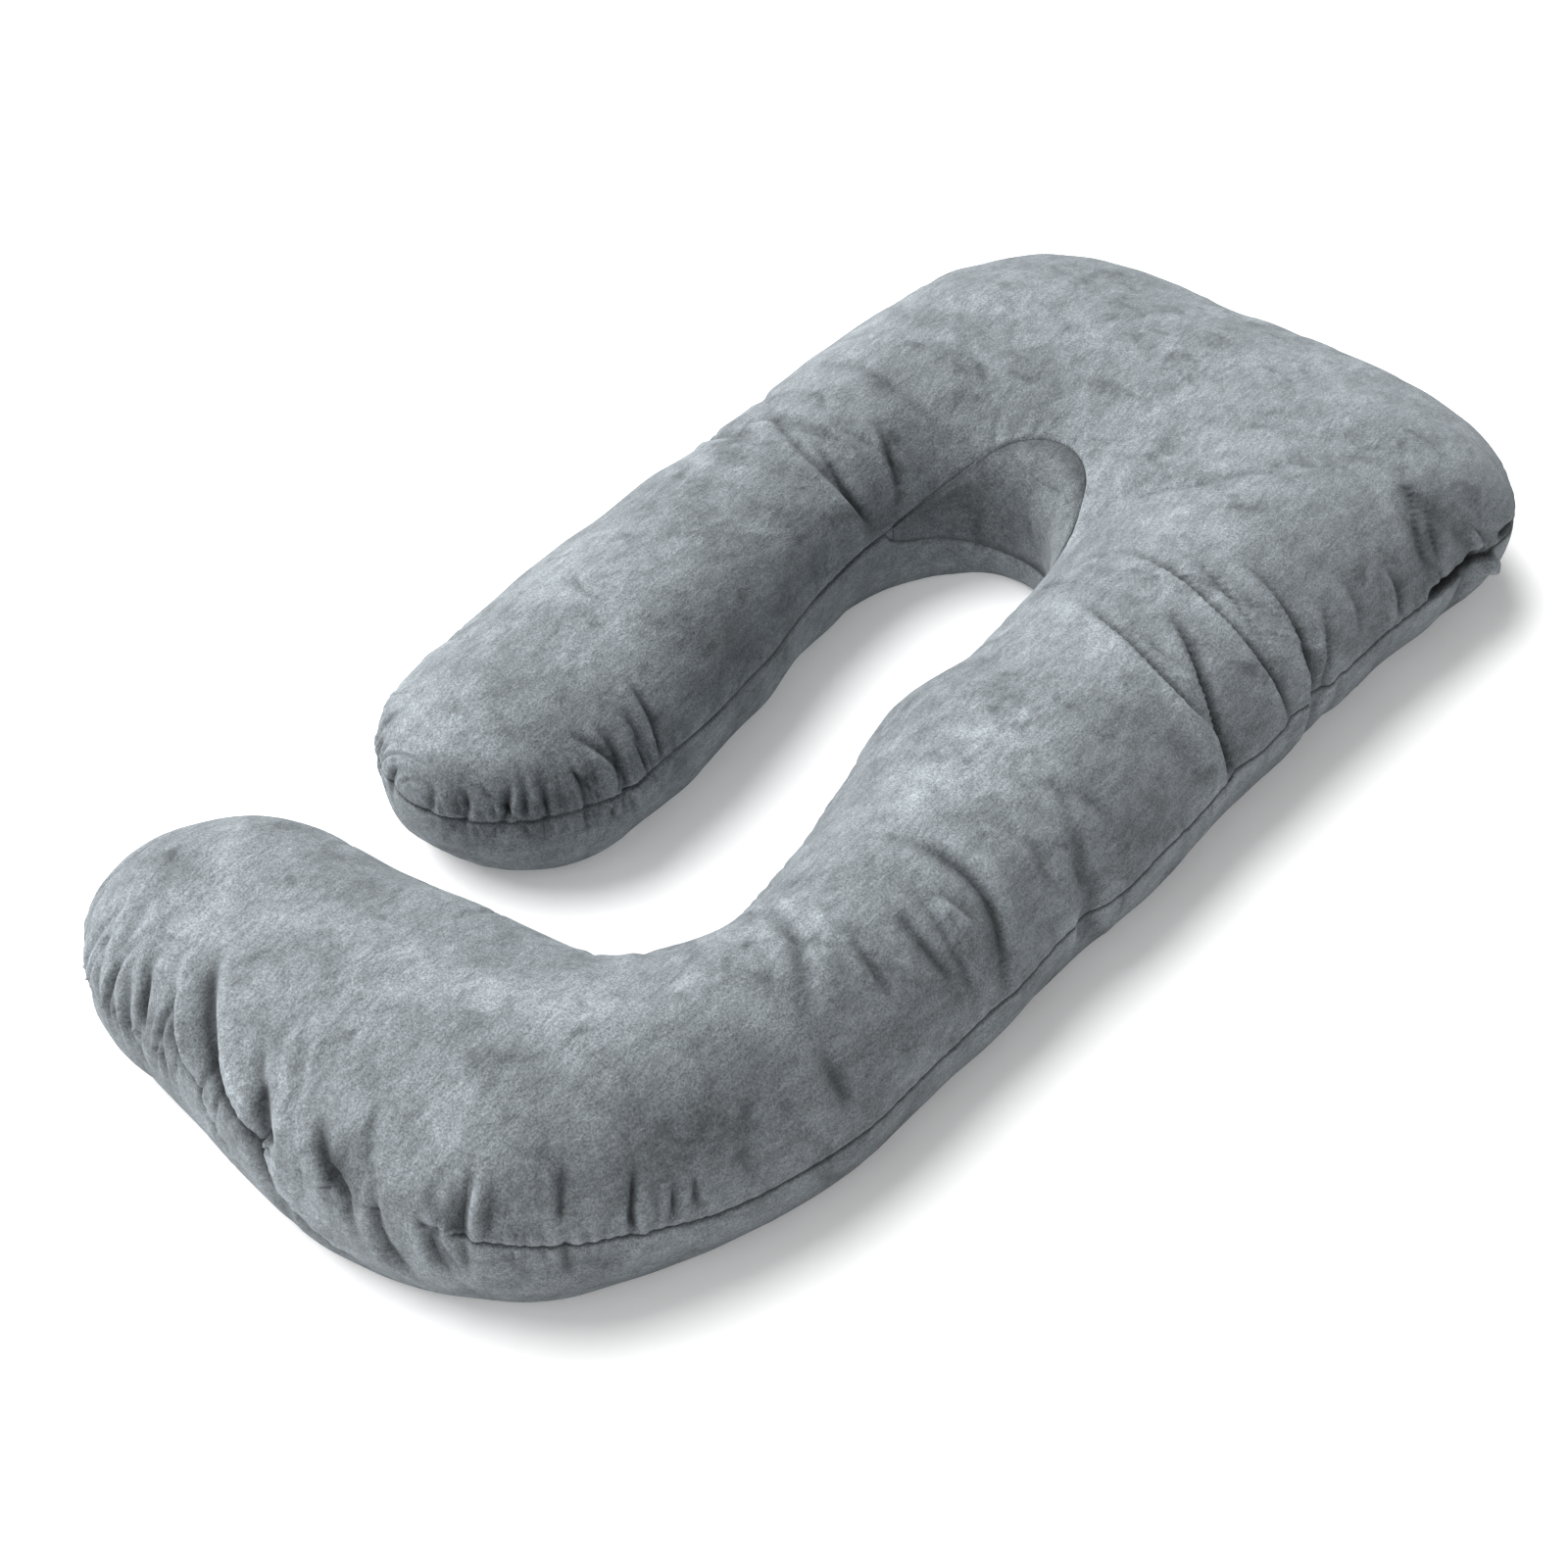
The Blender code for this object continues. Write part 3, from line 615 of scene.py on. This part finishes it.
def fold_moves(points, outward):
    """How far each point moves for all the folds: down into a trough, up at its lip, and over it. Also how
    far up or down alone. Both are in mm."""
    total = np.zeros_like(points)
    relief = np.zeros(points.shape[:2])
    for values in FOLDS:
        fold = dict(zip(FOLD_COLUMNS, values))
        path, tangents, share = fold_path(fold)
        reach = FOLD_REACH * fold["width"]
        near = ((points > path.min(axis=0) - reach) & (points < path.max(axis=0) + reach)).all(axis=-1)
        local, out = points[near], outward[near]
        away = local[:, None] - path
        nearest = np.argmin(np.einsum("ijk,ijk->ij", away, away), axis=1)
        away = local - path[nearest]
        distance = np.linalg.norm(away, axis=1) / fold["width"]
        to_lip = np.cross(tangents[nearest], out) * (-1 if fold["lip"] < 0 else 1)
        across = np.einsum("ij,ij->i", away, to_lip) / fold["width"]
        along = np.sqrt(np.maximum(distance ** 2 - across ** 2, 0))
        trough = -fold["depth"] * np.exp(-distance ** TROUGH_POWER)
        beyond = across - LIP_AT
        beyond = beyond / np.where(beyond < 0, LIP_NEAR, LIP_FAR)
        bell = np.exp(-beyond ** 2 - along ** 2)
        rise = share[nearest] * (trough + abs(fold["lip"]) * bell)
        total[near] += rise[:, None] * out - (share[nearest] * fold["lean"] * bell)[:, None] * to_lip
        relief[near] += rise
    return total, relief


def pleat_profile(along, height, width, reach, hold):
    """Outward offsets of a pleat of depth 1, from the distances along the seam and away from it, in mm."""
    t = height / reach
    fade = np.where(t < 1, (1 - np.minimum(t, 1)) ** PLEAT_FADE, 0)
    fade = fade * (1 - hold * np.exp(-(height / SEAM_HOLD_WIDTH) ** 2))
    spread = width * (PLEAT_AT_SEAM + PLEAT_OPENS * t)
    ridge = RIDGE_HEIGHT * np.exp(-((np.abs(along) - RIDGE_AT * spread) / spread) ** 2)
    return fade * (ridge - np.exp(-np.abs(along / spread) ** PLEAT_POWER))


def pleat_offset(runs, points, upper, lower):
    """Outward offsets, in mm, of the small pleats along the seams."""
    random = np.random.default_rng(SEED)
    total = np.zeros(points.shape[:2])
    number = np.arange(points.shape[1])[None, :]
    for zone in by_name(PLEATS, PLEAT_COLUMNS).values():
        if zone["seam"]:
            edges = (upper, lower)
            sides = (number <= upper, number >= lower)
        else:
            edges = (0, 0)
            sides = (number < upper, (number > lower) | (number == 0))
        place = lengths_along(points[:, edges[0]])
        start, end = np.interp([zone["run_1"], zone["run_2"]], runs, place)
        stray = random.uniform(-PLEAT_JITTER, PLEAT_JITTER, zone["count"])
        for share in (np.arange(zone["count"]) + stray) / zone["count"]:
            centre = start + (end - start) * share
            depth = zone["depth"] * random.uniform(*PLEAT_DEPTHS)
            width = zone["width"] * random.uniform(*PLEAT_WIDTHS)
            slant = random.normal(0, PLEAT_SLANT)
            curl = random.normal(0, PLEAT_CURL)
            reaches = [zone[name] * random.uniform(*PLEAT_REACHES) for name in ("up", "down")]
            felt = PLEAT_FELT["widths"] * width + PLEAT_FELT["reaches"] * max(reaches)
            rows = np.flatnonzero(np.abs(place - centre) < felt)
            if len(rows) == 0:
                continue
            hold = SEAM_HOLD * (1 if zone["seam"] else float(seam_shown(runs[rows].mean())))
            for way, edge, on_side, reach in zip((1, -1), edges, sides, reaches):
                height = np.linalg.norm(points[rows] - points[rows, edge][:, None], axis=2)
                along = place[rows][:, None] - centre - way * slant * height - curl * height ** 2
                total[rows] += depth * on_side * pleat_profile(along, height, width, reach, hold)
    return total


def lumps(points):
    """The filling's slow unevenness, in mm."""
    random = np.random.default_rng(SEED + 1)
    total = np.zeros(points.shape[:2])
    for wavelength, height in LUMPS:
        for _ in range(LUMP_WAVES):
            way = unit(random.normal(size=3))
            phase = random.uniform(0, LUMP_PHASE)
            total += height / LUMP_SHARE * np.sin(points @ way * 2 * np.pi / wavelength + phase)
    return total


# Meshes

HIDDEN_AWAY = 9     # added to the distance from a seam where it is hidden, mm
INNER_AWAY = 1.3    # added to the distance from the inner seams, which show less, mm
SEAM_SHADE = 4      # how far from a seam its shade reaches, mm
POLE_CALM = 2.2     # the larger it is, the nearer to a pole the pleats run
LYING_HEIGHT = 12   # below this height, in mm, the cover is pressed smooth on what it lies on
LEVEL = 0.5         # the value of the painted shade and of the nap with painted light that leaves the cloth's colour as it is
PANEL_SHADE = 0.30  # painted shade on the panel: its nap lies away from the light and it sits in the neck's shade, so it is painted darker
PANEL_SHORT = 0.12  # how much sooner than the opening the panel ends, in run numbers
PANEL_CLEAR = 0.5   # how far the panel's edges stay from the opening's edges, mm
PANEL_UNEVEN = 0.5  # how much of the filling's unevenness it shows
PANEL_EDGE = {"drawn_in": 1.5, "reach": 4}  # how far the sewing draws its edges in, and over what width, mm
CREASE_SHADE = 11   # the difference in height, in mm, over which the painted shade in a crease goes to the painted highlight on its ridge


def make_object(name, points, faces, values):
    """A mesh object from points in mm, its faces outward and smooth, with named values on its points."""
    data = bpy.data.meshes.new(name)
    data.from_pydata(np.asarray(points) * MM, [], faces)
    mesh = bmesh.new()
    mesh.from_mesh(data)
    bmesh.ops.recalc_face_normals(mesh, faces=mesh.faces[:])
    mesh.to_mesh(data)
    mesh.free()
    data.shade_smooth()
    for attribute, numbers in values.items():
        layer = data.attributes.new(attribute, "FLOAT", "POINT")
        layer.data.foreach_set("value", np.asarray(numbers, np.float32).ravel())
    return add_object(name, data)


def pockets_and_ear(runs, points, above_seam):
    """How far, in mm, the pockets and the ear at the head's corner move the cover, and the pockets alone."""
    total, hollows = np.zeros(above_seam.shape), np.zeros(above_seam.shape)
    for pocket in by_name(POCKETS, POCKET_COLUMNS).values():
        share = np.clip(1 - ((runs - pocket["run"]) / pocket["reach"]) ** 2, 0, 1)[:, None]
        from_middle = above_seam - pocket["above"]
        from_brow = from_middle - BROW_AT * pocket["drop"]
        hollow = pocket["depth"] * share * np.exp(-(from_middle / pocket["drop"]) ** SQUARE_EDGE)
        brow = BROW_SHARE * pocket["depth"] * share * np.exp(-(from_brow / pocket["drop"]) ** 2)
        total += brow - hollow
        hollows += hollow
    from_ear = np.linalg.norm(points - surface(EAR["run"], EAR["girth"]), axis=-1) / EAR["radius"]
    below_top = np.clip((EAR["top"] - above_seam) / EAR["edge"], 0, 1)
    return total + EAR["height"] * np.exp(-from_ear ** SQUARE_EDGE) * below_top, hollows


def seam_lift(runs, points, from_outer):
    """How far up, in mm, the outer seam's steps take the cover."""
    place = lengths_along(points[:, 0])
    lift = np.zeros(from_outer.shape)
    for step in by_name(SEAM_STEPS, STEP_COLUMNS).values():
        before = np.interp(step["run"], runs, place) - place
        share = np.where(before >= 0, np.clip(1 - before / step["reach"], 0, 1), 0)
        lift += step["rise"] * share[:, None] * np.exp(-(from_outer / STEP_HEIGHT) ** 2)
    return lift


def nap_and_painted_light_places(points):
    """How much lighter (above 0) or darker the pile looks at the listed places: partly where it was brushed
    another way, and partly painted light and shade.
    """
    total = np.zeros(points.shape[:2])
    ragged = 1 + NAP_AND_PAINTED_LIGHT_EDGE * lumps(NAP_AND_PAINTED_LIGHT_FINER * points)
    for patch in by_name(NAP_AND_PAINTED_LIGHT, NAP_AND_PAINTED_LIGHT_COLUMNS).values():
        away = np.linalg.norm(points - surface(patch["run"], patch["girth"]), axis=-1)
        total += patch["shade"] * np.exp(-np.abs(away * ragged / patch["radius"]) ** NAP_AND_PAINTED_LIGHT_POWER)
    return total


def away_from(points, column):
    """Distance, in mm, of each ring's points from its point in that column."""
    return np.linalg.norm(points - points[:, column][:, None], axis=2)


# Filled cover

runs = ring_runs()
girths, UPPER, LOWER = ring_girths(runs)
run_grid = runs[:, None] + 0 * girths
smooth_points = surface(run_grid, girths)
outward = normals(run_grid, girths)

small = pleat_offset(runs, smooth_points, UPPER, LOWER)
small += creases_at(runs, girths, smooth_points[..., 2])
small *= np.clip(POLE_CALM * np.cos(tip_turn(runs)), 0, 1)[:, None]
fold_shift, fold_relief = fold_moves(smooth_points, outward)

shown = seam_shown(runs)[:, None]
number = np.arange(girths.shape[1])[None, :]
in_panel = (number >= UPPER) & (number <= LOWER)
from_outer = away_from(smooth_points, 0)
from_inner = np.minimum(away_from(smooth_points, UPPER), away_from(smooth_points, LOWER))
offset = lumps(smooth_points) + small
offset -= SEAM_DEPTH * shown * np.exp(-(from_outer / SEAM_WIDTH) ** GROOVE_POWER)
offset -= SEAM_DEPTH * np.exp(-(from_inner / SEAM_WIDTH) ** GROOVE_POWER) * ~in_panel
offset = np.where(in_panel, -max(SEAM_DEPTH, PANEL_THICK + PANEL_GAP), offset)
corner, hollows = pockets_and_ear(runs, smooth_points, np.where(girths > 2, -from_outer, from_outer))
# Painted shade and highlight: the troughs of folds, pleats, creases and pockets are painted darker and their
# ridges lighter.
relief = fold_relief + small - hollows

moves = (offset + corner)[..., None] * outward + fold_shift
moves[..., 2] += seam_lift(runs, smooth_points, from_outer)
points = smooth_points + moves * np.clip(smooth_points[..., 2] / LYING_HEIGHT, 0, 1)[..., None]
points[..., 2] = np.maximum(points[..., 2], 0)

from_seam = np.minimum(from_outer + HIDDEN_AWAY * (1 - shown), from_inner + INNER_AWAY)
body = make_object(
    "plush_cover",
    np.vstack([points.reshape(-1, 3), POLES]),
    closed_faces(*girths.shape),
    {
        "seam_near": np.append(np.clip(from_seam / SEAM_SHADE, 0, 1), [0, 0]),
        "painted_shade_and_highlight": np.append(np.clip(LEVEL + relief / CREASE_SHADE, 0, 1), [LEVEL, LEVEL]),
        # The nap with painted light and shade: lighter tops and darker sides at the listed places.
        "nap_and_painted_light": np.append(LEVEL * (1 + nap_and_painted_light_places(smooth_points)), [LEVEL, LEVEL]),
    },
)
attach(body, "root")
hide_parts("pillow_body")

# Crescent panel

inside = (runs > PANEL["from"] + PANEL_SHORT) & (runs < PANEL["to"] - PANEL_SHORT)
panel_runs, panel_girths = runs[inside], girths[inside][:, UPPER:LOWER + 1]
above, below = panel_opening(panel_runs)
narrowing = (1 - PANEL_CLEAR * 2 / (above + below))[:, None]
centre = panel_girths.mean(axis=1, keepdims=True)
panel_girths = centre + (panel_girths - centre) * narrowing
panel_run_grid = panel_runs[:, None] + 0 * panel_girths
panel_base, panel_out = surface(panel_run_grid, panel_girths), normals(panel_run_grid, panel_girths)
edge_near = np.minimum(away_from(panel_base, 0), away_from(panel_base, -1))
swell = lumps(panel_base) * PANEL_UNEVEN - PANEL_EDGE["drawn_in"] * np.exp(-edge_near / PANEL_EDGE["reach"])
front = panel_base + panel_out * np.maximum(swell, PANEL_THIN - PANEL_THICK)[..., None]
back = panel_base - panel_out * PANEL_THICK
panel_rings = np.concatenate([front, back[:, ::-1]], axis=1)
both_sides = np.concatenate([edge_near, edge_near[:, ::-1]], axis=1)
count, wide = panel_rings.shape[:2]
panel = make_object(
    "neck_panel_cloth",
    panel_rings.reshape(-1, 3),
    [*tube_faces(count, wide), tuple(range(wide)), tuple(range((count - 1) * wide, count * wide))[::-1]],
    {
        "seam_near": np.clip((both_sides + INNER_AWAY) / SEAM_SHADE, 0, 1),
        # The panel's painted shade: one low value all over makes it darker.
        "painted_shade_and_highlight": np.full(panel_rings.shape[:2], PANEL_SHADE),
        "nap_and_painted_light": np.full(panel_rings.shape[:2], LEVEL),
    },
)
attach(panel, "root")
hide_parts("neck_panel")


# Stitches

STITCH_SIZES = {"Pitch": 3.4, "Length": 2.8, "Thickness": 0.7}  # mm
STITCH_RISE = 0.5  # how far the thread stands off the groove's floor, mm
BEAD = {"Segments": 6, "Rings": 4, "Radius": 0.5}  # 1 across, so that its scale is its size
SEEN = 0.99  # the outer seam's stitches show where its share is above this
DARK_THREAD, PALE_THREAD = (0.018, 0.021, 0.023, 1), (0.055, 0.062, 0.066, 1)
TWIST_SCALE, THREAD_ROUGHNESS = 900, 0.7


def thread_material():
    """Dark grey sewing thread, a little uneven."""
    material, nodes, links, shader = new_material("dark_grey_thread")
    place = nodes.new("ShaderNodeTexCoord")
    twist = nodes.new("ShaderNodeTexNoise")
    twist.inputs["Scale"].default_value = TWIST_SCALE
    shades = nodes.new("ShaderNodeValToRGB")
    shades.color_ramp.elements[0].color = DARK_THREAD
    shades.color_ramp.elements[1].color = PALE_THREAD
    links.new(place.outputs["Object"], twist.inputs["Vector"])
    links.new(twist.outputs["Fac"], shades.inputs["Fac"])
    links.new(shades.outputs["Color"], shader.inputs["Base Color"])
    shader.inputs["Roughness"].default_value = THREAD_ROUGHNESS
    return material


def stitch_tree():
    """Stitches along a seam: small rounded threads end to end, one for each pitch."""
    tree = bpy.data.node_groups.new("seam_stitches", "GeometryNodeTree")
    tree.interface.new_socket("Seam", in_out="INPUT", socket_type="NodeSocketGeometry")
    for name in STITCH_SIZES:
        tree.interface.new_socket(name, in_out="INPUT", socket_type="NodeSocketFloat")
    tree.interface.new_socket("Thread", in_out="INPUT", socket_type="NodeSocketMaterial")
    tree.interface.new_socket("Stitches", in_out="OUTPUT", socket_type="NodeSocketGeometry")
    nodes, links = tree.nodes, tree.links
    given = nodes.new("NodeGroupInput").outputs
    to_curve = nodes.new("GeometryNodeMeshToCurve")
    resample = nodes.new("GeometryNodeResampleCurve")
    resample.mode = "LENGTH"
    tangent = nodes.new("GeometryNodeInputTangent")
    align = nodes.new("FunctionNodeAlignRotationToVector")
    align.axis = "X"
    bead = nodes.new("GeometryNodeMeshUVSphere")
    set_inputs(bead, BEAD)
    size = nodes.new("ShaderNodeCombineXYZ")
    thread = nodes.new("GeometryNodeTransform")
    place = nodes.new("GeometryNodeInstanceOnPoints")
    realize = nodes.new("GeometryNodeRealizeInstances")
    paint = nodes.new("GeometryNodeSetMaterial")
    for start, end in (
        (given["Seam"], to_curve.inputs["Mesh"]),
        (to_curve.outputs["Curve"], resample.inputs["Curve"]),
        (given["Pitch"], resample.inputs["Length"]),
        (tangent.outputs["Tangent"], align.inputs["Vector"]),
        (given["Length"], size.inputs["X"]),
        (given["Thickness"], size.inputs["Y"]),
        (given["Thickness"], size.inputs["Z"]),
        (bead.outputs["Mesh"], thread.inputs["Geometry"]),
        (size.outputs["Vector"], thread.inputs["Scale"]),
        (resample.outputs["Curve"], place.inputs["Points"]),
        (thread.outputs["Geometry"], place.inputs["Instance"]),
        (align.outputs["Rotation"], place.inputs["Rotation"]),
        (place.outputs["Instances"], realize.inputs["Geometry"]),
        (realize.outputs["Geometry"], paint.inputs["Geometry"]),
        (given["Thread"], paint.inputs["Material"]),
        (paint.outputs["Geometry"], nodes.new("NodeGroupOutput").inputs["Stitches"]),
    ):
        links.new(start, end)
    return tree


def seam_lines():
    """Polylines along every seam that shows, in mm, on the finished cover."""
    raised = points + STITCH_RISE * outward
    middle = (raised[:, UPPER] + raised[:, LOWER]) / 2
    hidden = np.flatnonzero(seam_shown(runs) <= SEEN)
    before, after = runs < PANEL["from"], runs > PANEL["to"]
    between = ~before & ~after
    return [
        raised[:hidden[0], 0],
        raised[hidden[-1] + 1:, 0],
        middle[before],
        middle[after],
        raised[between, UPPER],
        raised[between, LOWER],
    ]


lines = seam_lines()
starts = np.cumsum([0] + [len(line) for line in lines]).tolist()
edges = [(k, k + 1) for start, line in zip(starts, lines) for k in range(start, start + len(line) - 1)]
line_data = bpy.data.meshes.new("seam_lines")
line_data.from_pydata(np.vstack(lines) * MM, edges, [])
line_object = add_object("seam_lines", line_data)
sewing = line_object.modifiers.new("sewing", "NODES")
sewing.node_group = stitch_tree()
sockets = sewing.node_group.interface.items_tree
identifiers = {socket.name: socket.identifier for socket in sockets}
for name, size in STITCH_SIZES.items():
    sewing[identifiers[name]] = size * MM
sewing[identifiers["Thread"]] = thread_material()
line_object.update_tag()
sewn = line_object.evaluated_get(bpy.context.evaluated_depsgraph_get())
thread = add_object("seam_thread", bpy.data.meshes.new_from_object(sewn))
bpy.data.objects.remove(line_object, do_unlink=True)
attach(thread, "root")


# Plush

PLUSH_COLOUR = (0.186, 0.206, 0.219, 1)
PLUSH_VALUES = {
    "Roughness": 0.9,
    "Specular IOR Level": 0.1,
    "Sheen Weight": 0.17,
    "Sheen Roughness": 0.5,
    "Sheen Tint": (0.86, 0.94, 1.0, 1),
}

# The pile's patterns: the noise's scale, detail, roughness and distortion, how far it is drawn out and
# turned, and how light the pile is at given values of it.
PILE_COLUMNS = ("scale", "detail", "roughness", "distortion", "stretch", "turn", "tones")
PILE = {
    "nap":     (11, 5, 0.62, 0.4, 1, 0, ((0.34, 0.75), (0.66, 1.18))),
    "brushed": (62, 5, 0.68, 0.5, 0.5, 0.7, ((0.34, 0.76), (0.66, 1.20))),
    "hatch":   (240, 3, 0.6, 0.2, 0.22, 1.2, ((0.34, 0.84), (0.66, 1.16))),
    "tufts":   (520, 3, 0.7, 0, 1, 0, ((0.34, 0.56), (0.66, 1.44))),
    "grain":   (1300, 2, 0.7, 0, 1, 0, ((0.34, 0.80), (0.66, 1.20))),
    "smudges": (26, 4, 0.6, 0.5, 1, 0, ((0.31, 0.56), (0.44, 0.96), (0.66, 1.05))),
}
PILE_SHARE = 0.85  # how strongly the patterns show

# The same for the values that the meshes carry: the dark seams, the painted shade in creases with the
# painted highlight on their ridges, and the nap with painted light and shade at listed places.
SHADES = {
    "seam_near": ((0.0, 0.10), (0.38, 0.62), (0.8, 1.0)),
    "painted_shade_and_highlight": ((0.0, 0.22), (0.5, 1.0), (0.9, 1.3)),
    "nap_and_painted_light": ((0.0, 0.45), (0.5, 1.0), (1.0, 1.55)),
}
GRAIN_SHARE = 0.7  # how much of the grain is added to the tufts' relief
TUFT_BUMP, NAP_BUMP = {"Strength": 0.6, "Distance": 0.0016}, {"Strength": 0.4, "Distance": 0.005}  # m


def plush_material():
    """Short brushed plush: a cool grey pile with a soft sheen, patches where the nap lies another way, fine
    tufts, darker seams, painted shade in creases with painted highlights on their ridges, and painted light
    and shade at listed places."""
    material, nodes, links, shader = new_material("brushed_grey_plush")
    place = nodes.new("ShaderNodeTexCoord")

    def noise(pattern):
        mapping = nodes.new("ShaderNodeMapping")
        set_inputs(mapping, {"Scale": (1, pattern["stretch"], 1), "Rotation": (0, 0, pattern["turn"])})
        links.new(place.outputs["Object"], mapping.inputs["Vector"])
        texture = nodes.new("ShaderNodeTexNoise")
        set_inputs(texture, {name.capitalize(): pattern[name] for name in PILE_COLUMNS[:4]})
        links.new(mapping.outputs["Vector"], texture.inputs["Vector"])
        return texture.outputs["Fac"]

    def shade(value, stops):
        node = nodes.new("ShaderNodeValToRGB")
        elements = node.color_ramp.elements
        stops = [(position, (level, level, level, 1)) for position, level in stops]
        elements[0].position, elements[0].color = stops[0]
        elements[1].position, elements[1].color = stops[-1]
        for position, colour in stops[1:-1]:
            elements.new(position).color = colour
        links.new(value, node.inputs["Fac"])
        return node.outputs["Color"]

    def mix(kind, share, first, second):
        node = nodes.new("ShaderNodeMix")
        node.data_type = "RGBA"
        node.blend_type = kind
        node.inputs["Factor"].default_value = share
        if isinstance(first, tuple):
            node.inputs["A"].default_value = first
        else:
            links.new(first, node.inputs["A"])
        links.new(second, node.inputs["B"])
        return node.outputs["Result"]

    def bump(height, values, normal=None):
        node = nodes.new("ShaderNodeBump")
        set_inputs(node, values)
        links.new(height, node.inputs["Height"])
        if normal is not None:
            links.new(normal, node.inputs["Normal"])
        return node.outputs["Normal"]

    colour = PLUSH_COLOUR
    heights = {}
    for name, pattern in by_name(PILE, PILE_COLUMNS).items():
        heights[name] = noise(pattern)
        colour = mix("MULTIPLY", PILE_SHARE, colour, shade(heights[name], pattern["tones"]))
    for name, stops in SHADES.items():
        carried = nodes.new("ShaderNodeAttribute")
        carried.attribute_name = name
        colour = mix("MULTIPLY", 1.0, colour, shade(carried.outputs["Fac"], stops))
    links.new(colour, shader.inputs["Base Color"])

    tufts = bump(mix("ADD", GRAIN_SHARE, heights["tufts"], heights["grain"]), TUFT_BUMP)
    links.new(bump(heights["brushed"], NAP_BUMP, tufts), shader.inputs["Normal"])
    set_inputs(shader, PLUSH_VALUES)
    return material


plush = plush_material()
for piece in (body, panel):
    piece.data.materials.append(plush)

# Floor, light and camera

FLOOR_HALF, FLOOR_LEVEL = 30.0, -0.0005  # m
FLOOR_VALUES = {
    "Base Color": (0.90, 0.90, 0.90, 1),
    "Roughness": 0.9,
    "Specular IOR Level": 0.1,
    "Emission Color": (1, 1, 1, 1),
    # The floor's emission is painted light: it lightens the shadows on the floor and lights the pillow a
    # little from below.
    "Emission Strength": 0.20,  # painted light: a glow, though the floor is no lamp
}
VIEW_AZIMUTH, VIEW_ELEVATION, VIEW_DISTANCE = math.radians(37), math.radians(42), 2.417
LENS, SENSOR = 60.75, 36

# Where each light comes from, as the camera sees it, how strong it is and how many degrees wide.
LIGHT_COLUMNS = ("left", "back", "up", "strength", "spread")
LIGHTS = {
    "soft_key": (1.35, 1.0, 1.8, 6.9, 66),
    "soft_fill": (0.9, -0.9, 0.9, 0.9, 60),
}
SKY_STRENGTH = 0.18

floor_data = bpy.data.meshes.new("floor")
corners = [(x * FLOOR_HALF, y * FLOOR_HALF, FLOOR_LEVEL) for x, y in ((-1, -1), (1, -1), (1, 1), (-1, 1))]
floor_data.from_pydata(corners, [], [(0, 1, 2, 3)])
floor = add_object("floor", floor_data)
floor_material, _, _, floor_shader = new_material("pale_floor")
set_inputs(floor_shader, FLOOR_VALUES)
floor_data.materials.append(floor_material)

right = Vector((math.cos(VIEW_AZIMUTH), math.sin(VIEW_AZIMUTH), 0))
away = Vector((-math.sin(VIEW_AZIMUTH), math.cos(VIEW_AZIMUTH), 0))
to_camera = Vector((
    math.sin(VIEW_AZIMUTH) * math.cos(VIEW_ELEVATION),
    -math.cos(VIEW_AZIMUTH) * math.cos(VIEW_ELEVATION),
    math.sin(VIEW_ELEVATION),
))
target = Vector((-MIDDLE[0] * MM, -MIDDLE[1] * MM, 0))
camera_data = bpy.data.cameras.new("camera")
camera_data.sensor_width = SENSOR
camera_data.lens = LENS
camera = add_object("camera", camera_data)
camera.location = target + to_camera * VIEW_DISTANCE
camera.rotation_euler = to_camera.to_track_quat("Z", "Y").to_euler()
bpy.context.scene.camera = camera

for name, light in by_name(LIGHTS, LIGHT_COLUMNS).items():
    lamp_data = bpy.data.lights.new(name, "SUN")
    lamp_data.energy = light["strength"]
    lamp_data.angle = math.radians(light["spread"])
    lamp = add_object(name, lamp_data)
    lamp.location = away * light["back"] - right * light["left"] + Vector((0, 0, light["up"]))
    lamp.rotation_euler = lamp.location.to_track_quat("Z", "Y").to_euler()

world = bpy.data.worlds.new("studio")
world.use_nodes = True
set_inputs(world.node_tree.nodes["Background"], {"Color": (1, 1, 1, 1), "Strength": SKY_STRENGTH})
bpy.context.scene.world = world
bpy.context.scene.view_settings.view_transform = "Standard"
